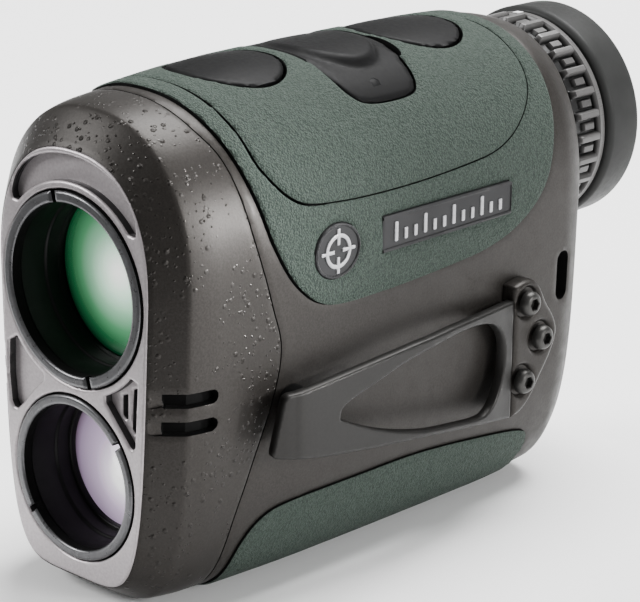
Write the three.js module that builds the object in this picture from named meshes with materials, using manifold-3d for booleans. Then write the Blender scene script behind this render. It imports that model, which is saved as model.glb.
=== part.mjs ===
// Handheld laser rangefinder: two stacked objectives in a magnesium housing with rubber armour,
// an eyepiece with a focusing ring and a twist-up eyecup, two top buttons, a battery door and a belt clip.
// Millimetres, +Z up. The origin is on the flat underside, in the symmetry plane x = 0.
// The objectives look along -Y, the eyepiece is at +Y and the belt clip is on the +X side.
import * as THREE from "three";
import { mergeVertices } from "three/addons/utils/BufferGeometryUtils.js";
import Module from "manifold-3d";

const wasm = await Module();
wasm.setup();

// ---- driving dimensions -------------------------------------------------------------------------
const GAP = 0.3; // clearance between neighbouring pieces
const FRONT_Y = -46; // face of the front plate
const MID_Z = 51.9; // height where the upper and lower halves of a body section meet
const OBJECTIVE = { z: 50.4, ring: 15.4, bore: 13.6, lens: 12.9, barrelEnd: -22, notches: [105, 285] };
const RECEIVER = { z: 19.8, ring: 13.3, bore: 11.7, lens: 11.0, barrelEnd: -24, notches: [39, 219] };
const LENS_DEPTH = 10.3; // how far the front lenses sit behind the front plate
const EYEPIECE_Z = 58.6;
const REAR_Y = 67.8; // rim of the eyecup

const WALL = 2.6; // housing wall where it is bare
const ARMOUR_SEAT = -1.3; // floor of the armour recess, measured from the body surface
const ARMOUR_BACK = -1.0; // inner face of the armour
const ARMOUR_PROUD = 0.5; // outer face of the armour

const MENU = { y: -14.0, rx: 10.0, ry: 9.1, plunger: 77.2 };
const MEASURE = { y: 26.8, rx: 10.2, ry: 9.4, plunger: 76.4 };
const BUTTON_PROUD = 1.0;
const BUTTON_BACK = -1.7;

const BATTERY = { y: 6.8, z: 65.6, r: 7.8, length: 27 };
const DOOR_HINGE = { x: -14.6, z: 75.5, r: 1.5, pin: 0.5 };
const DOOR_Y = [-2.4, 15.9];

const CLIP = { inner: 26.4, thickness: 1.6, bendY: 28.05, base: 24.6 };
const CLIP_SCREWS = [
  [31.4, 36.6],
  [34.9, 29.9],
  [30.6, 23.2],
];
const SPOT_FACE = { r: 2.5, depth: 0.8 }; // flat seats of the clip screws, sunk into the clip's base
const TRIPOD = { y: -16, r: 5.2, bore: 3.2, depth: 8 };

// Body sections from front to back: y, half width, top z, bottom z, roundness of the upper and
// lower halves (2 is an ellipse, larger is squarer) and how much the side narrows to the bottom.
const SECTIONS = [
  [-46.0, 16.6, 72.4, 3.4, 2.4, 5.2, 0.11],
  [-42.0, 20.5, 77.4, 0.9, 2.3, 4.6, 0.08],
  [-41.0, 21.2, 78.1, 0.7, 2.3, 4.6, 0.078],
  [-36.0, 22.0, 78.9, 0.5, 2.3, 4.6, 0.05],
  [-11.0, 23.0, 80.1, 0.4, 2.35, 4.7, 0.04],
  [29.0, 22.7, 79.35, 0.4, 2.35, 4.5, 0.035],
  [44.0, 22.3, 78.5, 1.0, 2.35, 4.4, 0.035],
  [48.5, 21.2, 77.7, 2.6, 2.3, 4.1, 0.04],
  [49.7, 19.4, 77.0, 4.6, 2.3, 4.0, 0.04],
];

// ---- solids ---------------------------------------------------------------------------------------
function solid(geometry, matrix = new THREE.Matrix4()) {
  const bare = geometry.clone().applyMatrix4(matrix);
  bare.deleteAttribute("normal");
  bare.deleteAttribute("uv");
  const merged = mergeVertices(bare, 1e-4);
  const corners = Array.from(merged.index.array);
  const kept = [];
  for (let i = 0; i < corners.length; i += 3) {
    const [a, b, c] = corners.slice(i, i + 3);
    if (a !== b && b !== c && c !== a) kept.push(a, b, c);
  }
  const build = (order) =>
    new wasm.Manifold(
      new wasm.Mesh({
        numProp: 3,
        vertProperties: merged.attributes.position.array,
        triVerts: new Uint32Array(order),
      }),
    );
  const made = build(kept);
  return made.volume() > 0 ? made : build(kept.reverse());
}

const less = (body, ...cuts) => cuts.reduce((left, cut) => left.subtract(cut), body);
const at = (x, y, z) => new THREE.Matrix4().makeTranslation(x, y, z);

const root = new THREE.Group();
root.name = "laser_rangefinder";

function piece(name, body, colour, roughness, metalness) {
  const made = body.getMesh();
  const geometry = new THREE.BufferGeometry();
  geometry.setAttribute("position", new THREE.BufferAttribute(made.vertProperties, 3));
  geometry.setIndex(new THREE.BufferAttribute(made.triVerts, 1));
  const flat = geometry.toNonIndexed();
  flat.computeVertexNormals();
  const mesh = new THREE.Mesh(flat, new THREE.MeshStandardMaterial({ color: colour, roughness, metalness }));
  mesh.name = name;
  root.add(mesh);
}

const paint = (name, body) => piece(name, body, 0x5c5650, 0.45, 0.35);
const rubber = (name, body) => piece(name, body, 0x4c5a50, 0.9, 0);
const plastic = (name, body) => piece(name, body, 0x3a3a3b, 0.6, 0);
const blackMetal = (name, body) => piece(name, body, 0x333438, 0.4, 0.6);
const metal = (name, body) => piece(name, body, 0x8c8a86, 0.35, 0.9);
const glass = (name, body, colour) => piece(name, body, colour, 0.05, 0);
const board = (name, body) => piece(name, body, 0x1f5a35, 0.6, 0);

// ---- outlines and primitive shapes ------------------------------------------------------------------
const toVectors = (points) => points.map(([a, b]) => new THREE.Vector2(a, b));

function smooth(points, steps) {
  return new THREE.SplineCurve(toVectors(points)).getPoints(steps);
}

function grow(points, distance) {
  const area = THREE.ShapeUtils.area(points);
  const side = area > 0 ? 1 : -1;
  return points.map((point, i) => {
    const before = points[(i + points.length - 1) % points.length];
    const after = points[(i + 1) % points.length];
    const run = after.clone().sub(before).normalize();
    return new THREE.Vector2(point.x + side * run.y * distance, point.y - side * run.x * distance);
  });
}

function oval(rx, ry, centreX, centreY, steps = 20) {
  const points = [];
  for (let i = 0; i < steps; i++) {
    const angle = (2 * Math.PI * i) / steps;
    points.push(new THREE.Vector2(centreX + rx * Math.cos(angle), centreY + ry * Math.sin(angle)));
  }
  return points;
}

function extrude(points, depth) {
  return new THREE.ExtrudeGeometry(new THREE.Shape(points), { depth, bevelEnabled: false, steps: 1 });
}

// A (y, z) outline extruded from x = from to x = to.
function alongX(points, from, to) {
  const turn = new THREE.Matrix4().makeBasis(
    new THREE.Vector3(0, 1, 0),
    new THREE.Vector3(0, 0, 1),
    new THREE.Vector3(1, 0, 0),
  );
  return solid(extrude(points, to - from), at(from, 0, 0).multiply(turn));
}

// An (x, z) outline extruded from y = from to y = to.
function alongY(points, from, to) {
  const turn = new THREE.Matrix4().makeBasis(
    new THREE.Vector3(1, 0, 0),
    new THREE.Vector3(0, 0, 1),
    new THREE.Vector3(0, -1, 0),
  );
  return solid(extrude(points, to - from), at(0, to, 0).multiply(turn));
}

// An (x, y) outline extruded from z = from to z = to.
function alongZ(points, from, to) {
  return solid(extrude(points, to - from), at(0, 0, from));
}

function box(x, y, z) {
  const size = [x, y, z].map(([low, high]) => high - low);
  const centre = [x, y, z].map(([low, high]) => (low + high) / 2);
  return solid(new THREE.BoxGeometry(...size), at(...centre));
}

// A body of revolution about the Y direction at height z; the profile is (radius, y) pairs.
function turned(profile, z, segments = 28) {
  return solid(new THREE.LatheGeometry(toVectors(profile), segments), at(0, 0, z));
}

function disc(radius, from, to, z, segments = 28) {
  return turned([[0, from], [radius, from], [radius, to], [0, to]], z, segments);
}

function tube(outer, inner, from, to, z, segments = 28) {
  const profile = [[inner, from], [outer, from], [outer, to], [inner, to], [inner, from]];
  return turned(profile, z, segments);
}

function rodX(radius, from, to, y, z, segments = 20) {
  const turn = new THREE.Matrix4().makeRotationZ(-Math.PI / 2);
  const rod = new THREE.CylinderGeometry(radius, radius, to - from, segments);
  return solid(rod, at((from + to) / 2, y, z).multiply(turn));
}

function rodZ(radius, from, to, x, y, segments = 20) {
  const turn = new THREE.Matrix4().makeRotationX(Math.PI / 2);
  const rod = new THREE.CylinderGeometry(radius, radius, to - from, segments);
  return solid(rod, at(x, y, (from + to) / 2).multiply(turn));
}

// ---- the body surface -------------------------------------------------------------------------------
// Smooth interpolation through the sections that never overshoots them.
function sectionAt(y) {
  const last = SECTIONS.length - 1;
  let i = 0;
  while (i < last - 1 && y > SECTIONS[i + 1][0]) i++;
  const step = (k) => SECTIONS[k + 1][0] - SECTIONS[k][0];
  const rise = (k, c) => (SECTIONS[k + 1][c] - SECTIONS[k][c]) / step(k);
  const slope = (k, c) => {
    if (k === 0) return rise(0, c);
    if (k === last) return rise(last - 1, c);
    const [before, after] = [rise(k - 1, c), rise(k, c)];
    return before * after <= 0 ? 0 : (2 * before * after) / (before + after);
  };
  const t = Math.min(Math.max((y - SECTIONS[i][0]) / step(i), 0), 1);
  return SECTIONS[i].map((value, c) => {
    const next = SECTIONS[i + 1][c];
    const hermite =
      (2 * t ** 3 - 3 * t ** 2 + 1) * value +
      (t ** 3 - 2 * t ** 2 + t) * step(i) * slope(i, c) +
      (3 * t ** 2 - 2 * t ** 3) * next +
      (t ** 3 - t ** 2) * step(i) * slope(i + 1, c);
    return c === 0 ? y : hermite;
  });
}

const AROUND = 24;

function ring(y, offset) {
  const [, half, top, bottom, nTop, nBottom, taper] = sectionAt(y);
  const points = [];
  for (let i = 0; i < AROUND; i++) {
    const angle = (2 * Math.PI * i) / AROUND;
    const [c, s] = [Math.cos(angle), Math.sin(angle)];
    const power = s >= 0 ? nTop : nBottom;
    const reach = (Math.abs(c) ** power + Math.abs(s) ** power) ** (-1 / power);
    const down = s >= 0 ? 0 : -s * reach;
    const x = (half + offset) * c * reach * (1 - taper * down);
    const z = s >= 0 ? s * reach * (top + offset - MID_Z) : s * reach * (MID_Z - bottom + offset);
    points.push([x, y, MID_Z + z]);
  }
  return points;
}

const STATIONS = [-46, -44, -42, -41, -36, -20, 0, 20, 38, 44, 48.5, 49.7];

// The body surface moved out by offset, between two y values, closed at both ends.
function loft(from, to, offset) {
  const inside = STATIONS.filter((y) => y > from + 0.2 && y < to - 0.2);
  const rings = [from, ...inside, to].map((y) => ring(y, offset));
  const points = rings.flat();
  const index = [];
  for (let j = 0; j + 1 < rings.length; j++) {
    for (let i = 0; i < AROUND; i++) {
      const a = j * AROUND + i;
      const b = j * AROUND + ((i + 1) % AROUND);
      index.push(a, b, a + AROUND, b, b + AROUND, a + AROUND);
    }
  }
  const front = points.length;
  points.push([0, from, MID_Z], [0, to, MID_Z]);
  const lastRing = (rings.length - 1) * AROUND;
  for (let i = 0; i < AROUND; i++) {
    const next = (i + 1) % AROUND;
    index.push(front, next, i, front + 1, lastRing + i, lastRing + next);
  }
  const geometry = new THREE.BufferGeometry();
  geometry.setAttribute("position", new THREE.Float32BufferAttribute(points.flat(), 3));
  geometry.setIndex(index);
  return solid(geometry);
}

// ---- seam lines in the (y, z) plane -------------------------------------------------------------------
const FAR = 40; // half width of a cut that passes right through the body
const ABOVE = 90; // a height above everything
const BELOW = -8; // a height below everything

const BEZEL_SEAM = smooth(
  [[-36, ABOVE], [-33.4, 78], [-31, 71.5], [-28.8, 59.5], [-25.4, 48.5], [-23.4, 41.5],
    [-24.6, 34], [-29, 22], [-32, 11], [-33.8, BELOW]],
  16,
);
const ARMOUR_SEAM = [
  ...smooth(
    [[-31.6, 80], [-30, 74], [-27.6, 65], [-25.2, 57.5], [-20.6, 50.4], [-14, 46.2],
      [-2.3, 45.6], [14, 46.3], [24, 47.3], [31.6, 49.8], [37.6, 54.6], [40.8, 62], [42.6, 71], [42.9, 80]],
    22,
  ),
  new THREE.Vector2(42.9, ABOVE),
  new THREE.Vector2(-31.6, ABOVE),
];
const TOP_SEAM = [
  ...smooth(
    [[-27.4, 80], [-26.2, 74], [-25, 69], [-19.6, 63.6], [-11, 62], [3, 61.5], [17, 61.9],
      [27, 63], [34, 66.6], [38.6, 72], [39.9, 80]],
    17,
  ),
  new THREE.Vector2(39.9, ABOVE),
  new THREE.Vector2(-27.4, ABOVE),
];
const LOWER_SEAM = [
  ...smooth(
    [[-30.6, 3], [-29.2, 9.5], [-25.4, 13.6], [-19, 14.9], [-4, 15.1], [9, 15], [22, 13.8],
      [36, 11.7], [39.2, 9], [38.4, 3]],
    15,
  ),
  new THREE.Vector2(38.4, BELOW),
  new THREE.Vector2(-30.6, BELOW),
];
const DOOR_OUTLINE = smooth(
  [[-13.9, -2.1], [0, DOOR_Y[0]], [11, -2.1], [14.8, -0.9], [16.2, 2.6], [16.2, 10.8],
    [15, 13.6], [11.5, 14.9], [5, DOOR_Y[1]], [-5, DOOR_Y[1]], [-13.9, 15.2]],
  20,
);

const frontOfSeam = (shift) => [
  ...BEZEL_SEAM.map((point) => new THREE.Vector2(point.x + shift, point.y)),
  new THREE.Vector2(FRONT_Y - 5, BELOW),
  new THREE.Vector2(FRONT_Y - 5, ABOVE),
];

// ---- front: bezel, face plate, lens rings -----------------------------------------------------------------
const PLATE_BACK = FRONT_Y + 3;
const BEZEL_FLOOR = FRONT_Y + 5.2;
const BEZEL_RIM = FRONT_Y + 0.4; // front edge of the bezel, round the face plate
const POCKET_DEPTH = 1.5;
const NOTCH = { width: 0.9, depth: 1.2 };

function spannerRing(spec, front) {
  const back = FRONT_Y + 1.5;
  const body = turned(
    [[spec.bore, front + 0.5], [spec.bore + 0.5, front], [spec.ring - 0.5, front], [spec.ring, front + 0.5],
      [spec.ring, back], [spec.bore, back], [spec.bore, front + 0.5]],
    spec.z,
    32,
  );
  const mid = (spec.bore + spec.ring) / 2;
  const notches = spec.notches.map((degrees) => {
    const angle = THREE.MathUtils.degToRad(degrees);
    const turn = new THREE.Matrix4().makeRotationY(-angle);
    const place = at(mid * Math.cos(angle), front, spec.z + mid * Math.sin(angle)).multiply(turn);
    return solid(new THREE.BoxGeometry(spec.ring - spec.bore + 1, 2 * NOTCH.depth, NOTCH.width), place);
  });
  return less(body, ...notches);
}

function pocket(points, depth = POCKET_DEPTH) {
  return alongY(points, FRONT_Y - 1, FRONT_Y + depth);
}

function arcPoints(radius, centreX, centreZ, fromDegrees, toDegrees, steps) {
  const points = [];
  for (let i = 0; i <= steps; i++) {
    const angle = THREE.MathUtils.degToRad(fromDegrees + ((toDegrees - fromDegrees) * i) / steps);
    points.push(new THREE.Vector2(centreX + radius * Math.cos(angle), centreZ + radius * Math.sin(angle)));
  }
  return points;
}

// A crescent over the objective and a rounded triangle on each side of the waist between the lenses.
// The triangle on the clip side holds two narrow slots that go deeper.
const CRESCENT = [
  ...smooth([[13.9, 61.7], [13.9, 63.4], [12.9, 65.9], [10.9, 68.2], [8.3, 69.8], [4.6, 71.0], [0, 71.5],
    [-4.6, 71.0], [-8.3, 69.8], [-10.9, 68.2], [-12.9, 65.9], [-13.9, 63.4], [-13.6, 62.0]], 18),
  ...arcPoints(16.9, 0, OBJECTIVE.z, 137, 43, 12),
];
const LEFT_TRIANGLE = toVectors(
  [[-15.0, 39.0], [-15.1, 33.1], [-14.5, 28.6], [-13.3, 27.6], [-11.8, 29.0], [-9.2, 32.0], [-7.0, 34.0],
    [-11.0, 35.6]],
);
const RIGHT_TRIANGLE = toVectors(
  [[6.6, 34.1], [13.0, 28.0], [13.7, 28.4], [14.3, 39.0], [13.7, 39.4], [10.6, 36.9], [6.9, 34.8]],
);
const TRIANGLE_SLOTS = [
  [[9.4, 35.5], [10.5, 36.1], [10.5, 31.6], [9.4, 32.3]],
  [[11.8, 36.9], [12.8, 37.4], [12.5, 29.7], [11.5, 30.5]],
];
const SLOT_DEPTH = 2.5;

const plateRing = ring(FRONT_Y, 0).map(([x, , z]) => new THREE.Vector2(x, z));
const facePlate = less(
  alongY(plateRing, FRONT_Y, PLATE_BACK),
  disc(OBJECTIVE.ring + GAP, FRONT_Y - 1, PLATE_BACK + 1, OBJECTIVE.z, 32),
  disc(RECEIVER.ring + GAP, FRONT_Y - 1, PLATE_BACK + 1, RECEIVER.z, 32),
  pocket(CRESCENT),
  pocket(LEFT_TRIANGLE),
  pocket(RIGHT_TRIANGLE),
  ...TRIANGLE_SLOTS.map((points) => pocket(toVectors(points), SLOT_DEPTH)),
);
piece("face_plate", facePlate, 0x8f898b, 0.4, 0.5);

// Two short slots run across the bevel on each side, level with the gap between the lenses.
const BEVEL_SLOT = { z: [36.6, 32.1], from: -44.4, to: -35.9, r: 1.15, depth: 1.7 };
const bevelSlots = BEVEL_SLOT.z.map((z) => {
  const end = arcPoints(BEVEL_SLOT.r, BEVEL_SLOT.to - BEVEL_SLOT.r, z, -90, 90, 6);
  const start = toVectors([[BEVEL_SLOT.from, z + BEVEL_SLOT.r], [BEVEL_SLOT.from, z - BEVEL_SLOT.r]]);
  return alongX([...end, ...start], -FAR, FAR).subtract(loft(FRONT_Y - 1, 0, -BEVEL_SLOT.depth));
});

const bezelInside = loft(BEZEL_FLOOR, 10, -WALL);
const bezel = less(
  loft(BEZEL_RIM, 0, 0).intersect(alongX(frontOfSeam(-GAP / 2), -FAR, FAR)),
  alongY(grow(plateRing, GAP / 2), FRONT_Y - 1, PLATE_BACK + GAP),
  bezelInside,
  disc(OBJECTIVE.ring + GAP, FRONT_Y, FRONT_Y + 10, OBJECTIVE.z, 32),
  disc(RECEIVER.ring + GAP, FRONT_Y, FRONT_Y + 10, RECEIVER.z, 32),
  ...bevelSlots,
);
paint("front_bezel", bezel);

piece("objective_ring", spannerRing(OBJECTIVE, FRONT_Y - 0.5), 0x35363a, 0.4, 0.7);
piece("receiver_ring", spannerRing(RECEIVER, FRONT_Y - 0.3), 0x35363a, 0.4, 0.7);

// ---- optics behind the front plate ------------------------------------------------------------------------
function barrel(spec) {
  const front = FRONT_Y + 1.5 + GAP;
  const seat = FRONT_Y + LENS_DEPTH + 4;
  return turned(
    [[spec.bore, front], [spec.ring, front], [spec.ring, spec.barrelEnd], [spec.lens - 2, spec.barrelEnd],
      [spec.lens - 2, seat], [spec.bore, seat], [spec.bore, front]],
    spec.z,
  );
}

const LENS_RINGS = 3;
function convexLens(radius, edgeFront, edgeBack, bulge, z) {
  const profile = [[0, edgeFront - bulge]];
  for (let i = 1; i <= LENS_RINGS; i++) {
    const r = (radius * i) / LENS_RINGS;
    profile.push([r, edgeFront - bulge * (1 - (r / radius) ** 2)]);
  }
  for (let i = LENS_RINGS; i >= 1; i--) {
    const r = (radius * i) / LENS_RINGS;
    profile.push([r, edgeBack + bulge * (1 - (r / radius) ** 2) * 0.5]);
  }
  profile.push([0, edgeBack + bulge * 0.5]);
  return turned(profile, z, 24);
}

function lensGroup(prefix, spec, colour) {
  blackMetal(prefix + "_barrel", barrel(spec));
  const front = FRONT_Y + LENS_DEPTH;
  glass(prefix + "_lens", convexLens(spec.bore - GAP, front, front + 2, 1.6, spec.z), colour);
  const seal = tube(spec.bore - GAP, spec.lens - 1.4, front + 2 + GAP, front + 4 - GAP, spec.z, 32);
  piece(prefix + "_seal", seal, 0x18181a, 0.9, 0);
}
lensGroup("objective", OBJECTIVE, 0x2f7d58);
lensGroup("receiver", RECEIVER, 0xb9a6c4);

// A bulkhead across the housing carries both barrels near their rear ends.
const bulkhead = less(
  loft(-26.2, -24.6, -WALL - GAP),
  disc(OBJECTIVE.ring + GAP, -30, -10, OBJECTIVE.z),
  disc(RECEIVER.ring + GAP, -30, -10, RECEIVER.z),
);
blackMetal("barrel_bulkhead", bulkhead);

const prismOutline = toVectors([[17.5, 44], [30, 44], [34, 48], [34, 64], [21.5, 64], [17.5, 58]]);
glass("prism_block", alongX(prismOutline, -9, 9), 0xc9dbe0);
const saddleOutline = toVectors([[16, 38], [35.5, 38], [35.5, 47], [34.4, 47], [30.2, 43.6], [16, 43.6]]);
blackMetal("prism_saddle", alongX(saddleOutline, -10, 10));
piece("display_panel", box([-7, 7], [35.9, 37.1], [51.5, 65.5]), 0x20262e, 0.2, 0);

// ---- electronics ------------------------------------------------------------------------------------------
board("main_board", box([-9, -7.4], [-15, 42], [5, 36]));
board("sensor_board", box([-6.8, 7.4], [-13.2, -12], [12.5, 27.5]));
piece("receiver_sensor", disc(4, -18, -13.2 - GAP, RECEIVER.z, 24), 0xa08a5a, 0.3, 0.8);
piece("laser_module", disc(4.2, -16, 6, 34.2, 24), 0x9a7b3c, 0.3, 0.9);
plastic("processor", box([-7.1, -5.6], [10, 24], [14, 28]));

function tactSwitch(name, button) {
  const base = box([-3, 3], [button.y - 3, button.y + 3], [73.2, 75.6]);
  const plunger = rodZ(1.6, 75.5, button.plunger, 0, button.y, 20);
  plastic(name, base.add(plunger));
}
tactSwitch("menu_switch", MENU);
tactSwitch("measure_switch", MEASURE);
board("menu_switch_board", box([-6, 6], [MENU.y - 6, MENU.y + 6], [71.7, 72.9]));
board("measure_switch_board", box([-6, 6], [MEASURE.y - 6, MEASURE.y + 6], [71.7, 72.9]));

// ---- battery and its compartment ----------------------------------------------------------------------------
const half = BATTERY.length / 2;
const cell = rodX(BATTERY.r, -half, half - 0.6, BATTERY.y, BATTERY.z, 32);
const nub = rodX(3, half - 1, half, BATTERY.y, BATTERY.z, 20);
piece("battery", cell.add(nub), 0x6d7074, 0.35, 0.6);

const cradleWall = [half + 1.6, half + 2.8];
const cradle = less(
  rodX(BATTERY.r + 1.1, -cradleWall[1], cradleWall[1], BATTERY.y, BATTERY.z, 28),
  rodX(BATTERY.r + GAP, -cradleWall[0], cradleWall[0], BATTERY.y, BATTERY.z, 28),
  box([-FAR, FAR], [-20, 30], [BATTERY.z, ABOVE]),
);
plastic("battery_cradle", cradle);
metal("battery_contact", box([half + GAP, half + 1.3], [BATTERY.y - 3, BATTERY.y + 3], [61, 68.5]));
const springPoints = [];
for (let i = 0; i <= 24; i++) {
  const angle = (i / 24) * 2 * 2 * Math.PI;
  const radius = 4.2 - (1.6 * i) / 24;
  const y = BATTERY.y + radius * Math.cos(angle);
  const z = BATTERY.z + radius * Math.sin(angle);
  springPoints.push(new THREE.Vector3(-half - 1.25 + (0.6 * i) / 24, y, z));
}
const wire = new THREE.Shape(oval(0.22, 0.22, 0, 0, 6));
const springPath = new THREE.CatmullRomCurve3(springPoints);
metal("battery_spring", solid(new THREE.ExtrudeGeometry(wire, { extrudePath: springPath, steps: 28 })));

// ---- main housing -------------------------------------------------------------------------------------------
const skinCut = (outline, extra) => alongX(grow(outline, extra), -FAR, FAR);
const armourSeat = (outline) => skinCut(outline, GAP / 2).subtract(loft(-50, 49, ARMOUR_SEAT));
const ovalCut = (button, extra) =>
  alongZ(oval(button.rx + extra, button.ry + extra, 0, button.y), 70, ABOVE);
const doorCut = alongZ(grow(DOOR_OUTLINE, GAP), 60, ABOVE);
const doorSeat = doorCut.subtract(loft(-50, 49, -1.6));
const hingeRun = new THREE.Matrix4().makeTranslation(DOOR_HINGE.x, (DOOR_Y[0] + DOOR_Y[1]) / 2, DOOR_HINGE.z);
const rodY = (radius, length) => solid(new THREE.CylinderGeometry(radius, radius, length, 12), hingeRun);
const DOOR_LENGTH = DOOR_Y[1] - DOOR_Y[0];
const hingeCut = rodY(DOOR_HINGE.r + GAP, DOOR_LENGTH - 0.2);
const pinCut = rodY(DOOR_HINGE.pin + GAP, DOOR_LENGTH + 3);
const batteryWell = box([-14.2, 14.2], [-1.4, 15.0], [66, ABOVE]);

const LANYARD = { y: 44.05, low: 35.0, high: 40.6, r: 1.55 };
const lanyardSlots = alongX(
  [...arcPoints(LANYARD.r, LANYARD.y, LANYARD.high, 0, 180, 8),
    ...arcPoints(LANYARD.r, LANYARD.y, LANYARD.low, 180, 360, 8)],
  -FAR,
  FAR,
).subtract(box([-17.5, 17.5], [30, 50], [20, 60]));
const screwHoles = CLIP_SCREWS.map(([y, z]) => rodX(1.4, 15, 30, y, z, 16));

const neck = disc(16.9, 45.5, 51.7, EYEPIECE_Z, 36);
// A round pad on the side, behind the tip of the belt clip, keeps the clip off the paint.
const CLIP_REST = { y: -21.2, z: 32.2, r: 2.7, top: 24.9 };
const clipRest = rodX(CLIP_REST.r, 20.5, CLIP_REST.top, CLIP_REST.y, CLIP_REST.z);
const housing = less(
  loft(-40, 49.7, 0).subtract(alongX(frontOfSeam(GAP / 2), -FAR, FAR)).add(neck).add(clipRest),
  loft(-50, 45.4, -WALL),
  disc(12.5, 30, 60, EYEPIECE_Z),
  armourSeat(ARMOUR_SEAM),
  armourSeat(LOWER_SEAM),
  ovalCut(MENU, 0.4),
  ovalCut(MEASURE, 0.4),
  doorSeat,
  hingeCut,
  pinCut,
  batteryWell,
  lanyardSlots,
  rodZ(TRIPOD.r + GAP, -5, 20, 0, TRIPOD.y),
  ...screwHoles,
);
paint("main_housing", housing);

// ---- rubber armour ------------------------------------------------------------------------------------------
const skin = loft(-44, 47, ARMOUR_PROUD).subtract(loft(-50, 49, ARMOUR_BACK));
const panel = (outline) => skin.intersect(skinCut(outline, -GAP / 2));
const aboveGround = box([-FAR, FAR], [-60, 80], [0, ABOVE]);

const PLATE_CORNERS = toVectors([[-2.0, 51.9], [28.5, 52.1], [28.5, 57.7], [-2.0, 58.0]]);
const BADGE = { y: -12.2, z: 54.6, ry: 5.1, rz: 4.5 };
const plateOutline = (extra) => grow(PLATE_CORNERS, extra * Math.SQRT2);
const badgeOutline = (extra) => oval(BADGE.ry + extra, BADGE.rz + extra, BADGE.y, BADGE.z, 32);
const BADGE_BACK = 22.2;
const BADGE_FACE = 23.6;

const sideArmour = less(
  panel(ARMOUR_SEAM),
  skinCut(TOP_SEAM, GAP / 2),
  alongX(plateOutline(GAP), 20, 30),
  alongX(plateOutline(GAP), -30, -20),
  alongX(badgeOutline(GAP), 20, 30),
);
rubber("side_armour", sideArmour);

const topArmour = less(
  panel(TOP_SEAM),
  ovalCut(MENU, 0.4),
  ovalCut(MEASURE, 0.4),
  doorCut,
  hingeCut,
  pinCut,
);
rubber("top_armour", topArmour);

const footNotch = box([-FAR, FAR], [4.2, 5.2], [-1, 0.5]);
const lowerArmour = less(
  panel(LOWER_SEAM).intersect(aboveGround),
  rodZ(TRIPOD.r + GAP, -5, 20, 0, TRIPOD.y),
  footNotch,
);
rubber("lower_armour", lowerArmour);

const insertBody = rodZ(TRIPOD.r, 0.4, TRIPOD.depth + 2, 0, TRIPOD.y, 32);
metal("tripod_insert", insertBody.subtract(rodZ(TRIPOD.bore, -1, TRIPOD.depth, 0, TRIPOD.y)));

const plateSolid = alongX(plateOutline(0), BADGE_BACK, BADGE_FACE);
plastic("name_plate_right", plateSolid);
plastic("name_plate_left", alongX(plateOutline(0), -BADGE_FACE, -BADGE_BACK));
plastic("round_badge", alongX(badgeOutline(0), BADGE_BACK, BADGE_FACE));

// ---- top controls -------------------------------------------------------------------------------------------
function button(name, spec) {
  const cap = loft(-44, 47, BUTTON_PROUD).subtract(loft(-50, 49, BUTTON_BACK));
  plastic(name, cap.intersect(alongZ(oval(spec.rx, spec.ry, 0, spec.y), 70, ABOVE)));
}
button("menu_button", MENU);
button("measure_button", MEASURE);

const doorSkin = loft(-44, 47, 0.6).subtract(loft(-50, 49, -1.3));
// The thumb rise is a low oval dome with a flat top.
const DOME = { y: 5.5, z: 77.6, rx: 11.2, ry: 8.2, rz: 6.2, top: 81.05 };
const dome = solid(
  new THREE.SphereGeometry(1, 28, 14),
  at(0, DOME.y, DOME.z).multiply(new THREE.Matrix4().makeScale(DOME.rx, DOME.ry, DOME.rz)),
).intersect(box([-FAR, FAR], [-20, 30], [60, DOME.top])).subtract(loft(-50, 49, -1.0));
const doorPanel = less(doorSkin.intersect(alongZ(DOOR_OUTLINE, 70, ABOVE)), pinCut).add(dome);
const knuckle = rodY(DOOR_HINGE.r, DOOR_LENGTH - 1.2).intersect(box([-FAR, FAR], [-10, 30], [60, ABOVE]));
plastic("battery_door", doorPanel.add(knuckle).subtract(rodY(DOOR_HINGE.pin + GAP, DOOR_LENGTH + 3)));
metal("door_hinge_pin", rodY(DOOR_HINGE.pin, DOOR_LENGTH + 1.6));

// ---- eyepiece -----------------------------------------------------------------------------------------------
const EYE = { tubeOuter: 12.2, tubeInner: 11.0, start: 40, end: 64.6 };
blackMetal("eyepiece_tube", tube(EYE.tubeOuter, EYE.tubeInner, EYE.start, EYE.end, EYEPIECE_Z));
glass("field_lens", convexLens(EYE.tubeInner - GAP, 43, 45, 1.2, EYEPIECE_Z), 0x9fb8b4);
glass("eye_lens", convexLens(EYE.tubeInner - GAP, 58, 61, 1.6, EYEPIECE_Z), 0x7f9fae);

// The focusing ring has long ribs all round in front of a smooth band that reaches to the eyecup.
const KNURLS = 28;
const FOCUS = { front: 52.1, back: 58.5, valley: 16.9, rib: 18.2 };
const FOCUS_BAND = { outer: 18, inner: 15, from: 57.3, to: 59.1 };
function diopterRing() {
  const outline = [];
  const { valley, rib } = FOCUS;
  const profile = [[valley, -5.2], [valley, -3.6], [rib, -2.2], [rib, 2.2], [valley, 3.6]];
  for (let i = 0; i < KNURLS; i++) {
    const middle = (360 / KNURLS) * i;
    for (const [radius, turn] of profile) {
      const angle = THREE.MathUtils.degToRad(middle + turn);
      outline.push(new THREE.Vector2(radius * Math.cos(angle), EYEPIECE_Z + radius * Math.sin(angle)));
    }
  }
  return less(
    alongY(outline, FOCUS.front + 0.5, FOCUS_BAND.from + 0.2)
      .add(disc(valley, FOCUS.front, FOCUS.back, EYEPIECE_Z, 28))
      .add(tube(FOCUS_BAND.outer, FOCUS_BAND.inner, FOCUS_BAND.from, FOCUS_BAND.to, EYEPIECE_Z)),
    disc(EYE.tubeOuter + GAP, FOCUS.front - 1, FOCUS.back + 1, EYEPIECE_Z),
  );
}
plastic("diopter_ring", diopterRing());

const sleeve = tube(14.4, EYE.tubeOuter + GAP, 58.9, 66.0, EYEPIECE_Z);
plastic("eyecup_sleeve", sleeve);

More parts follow.
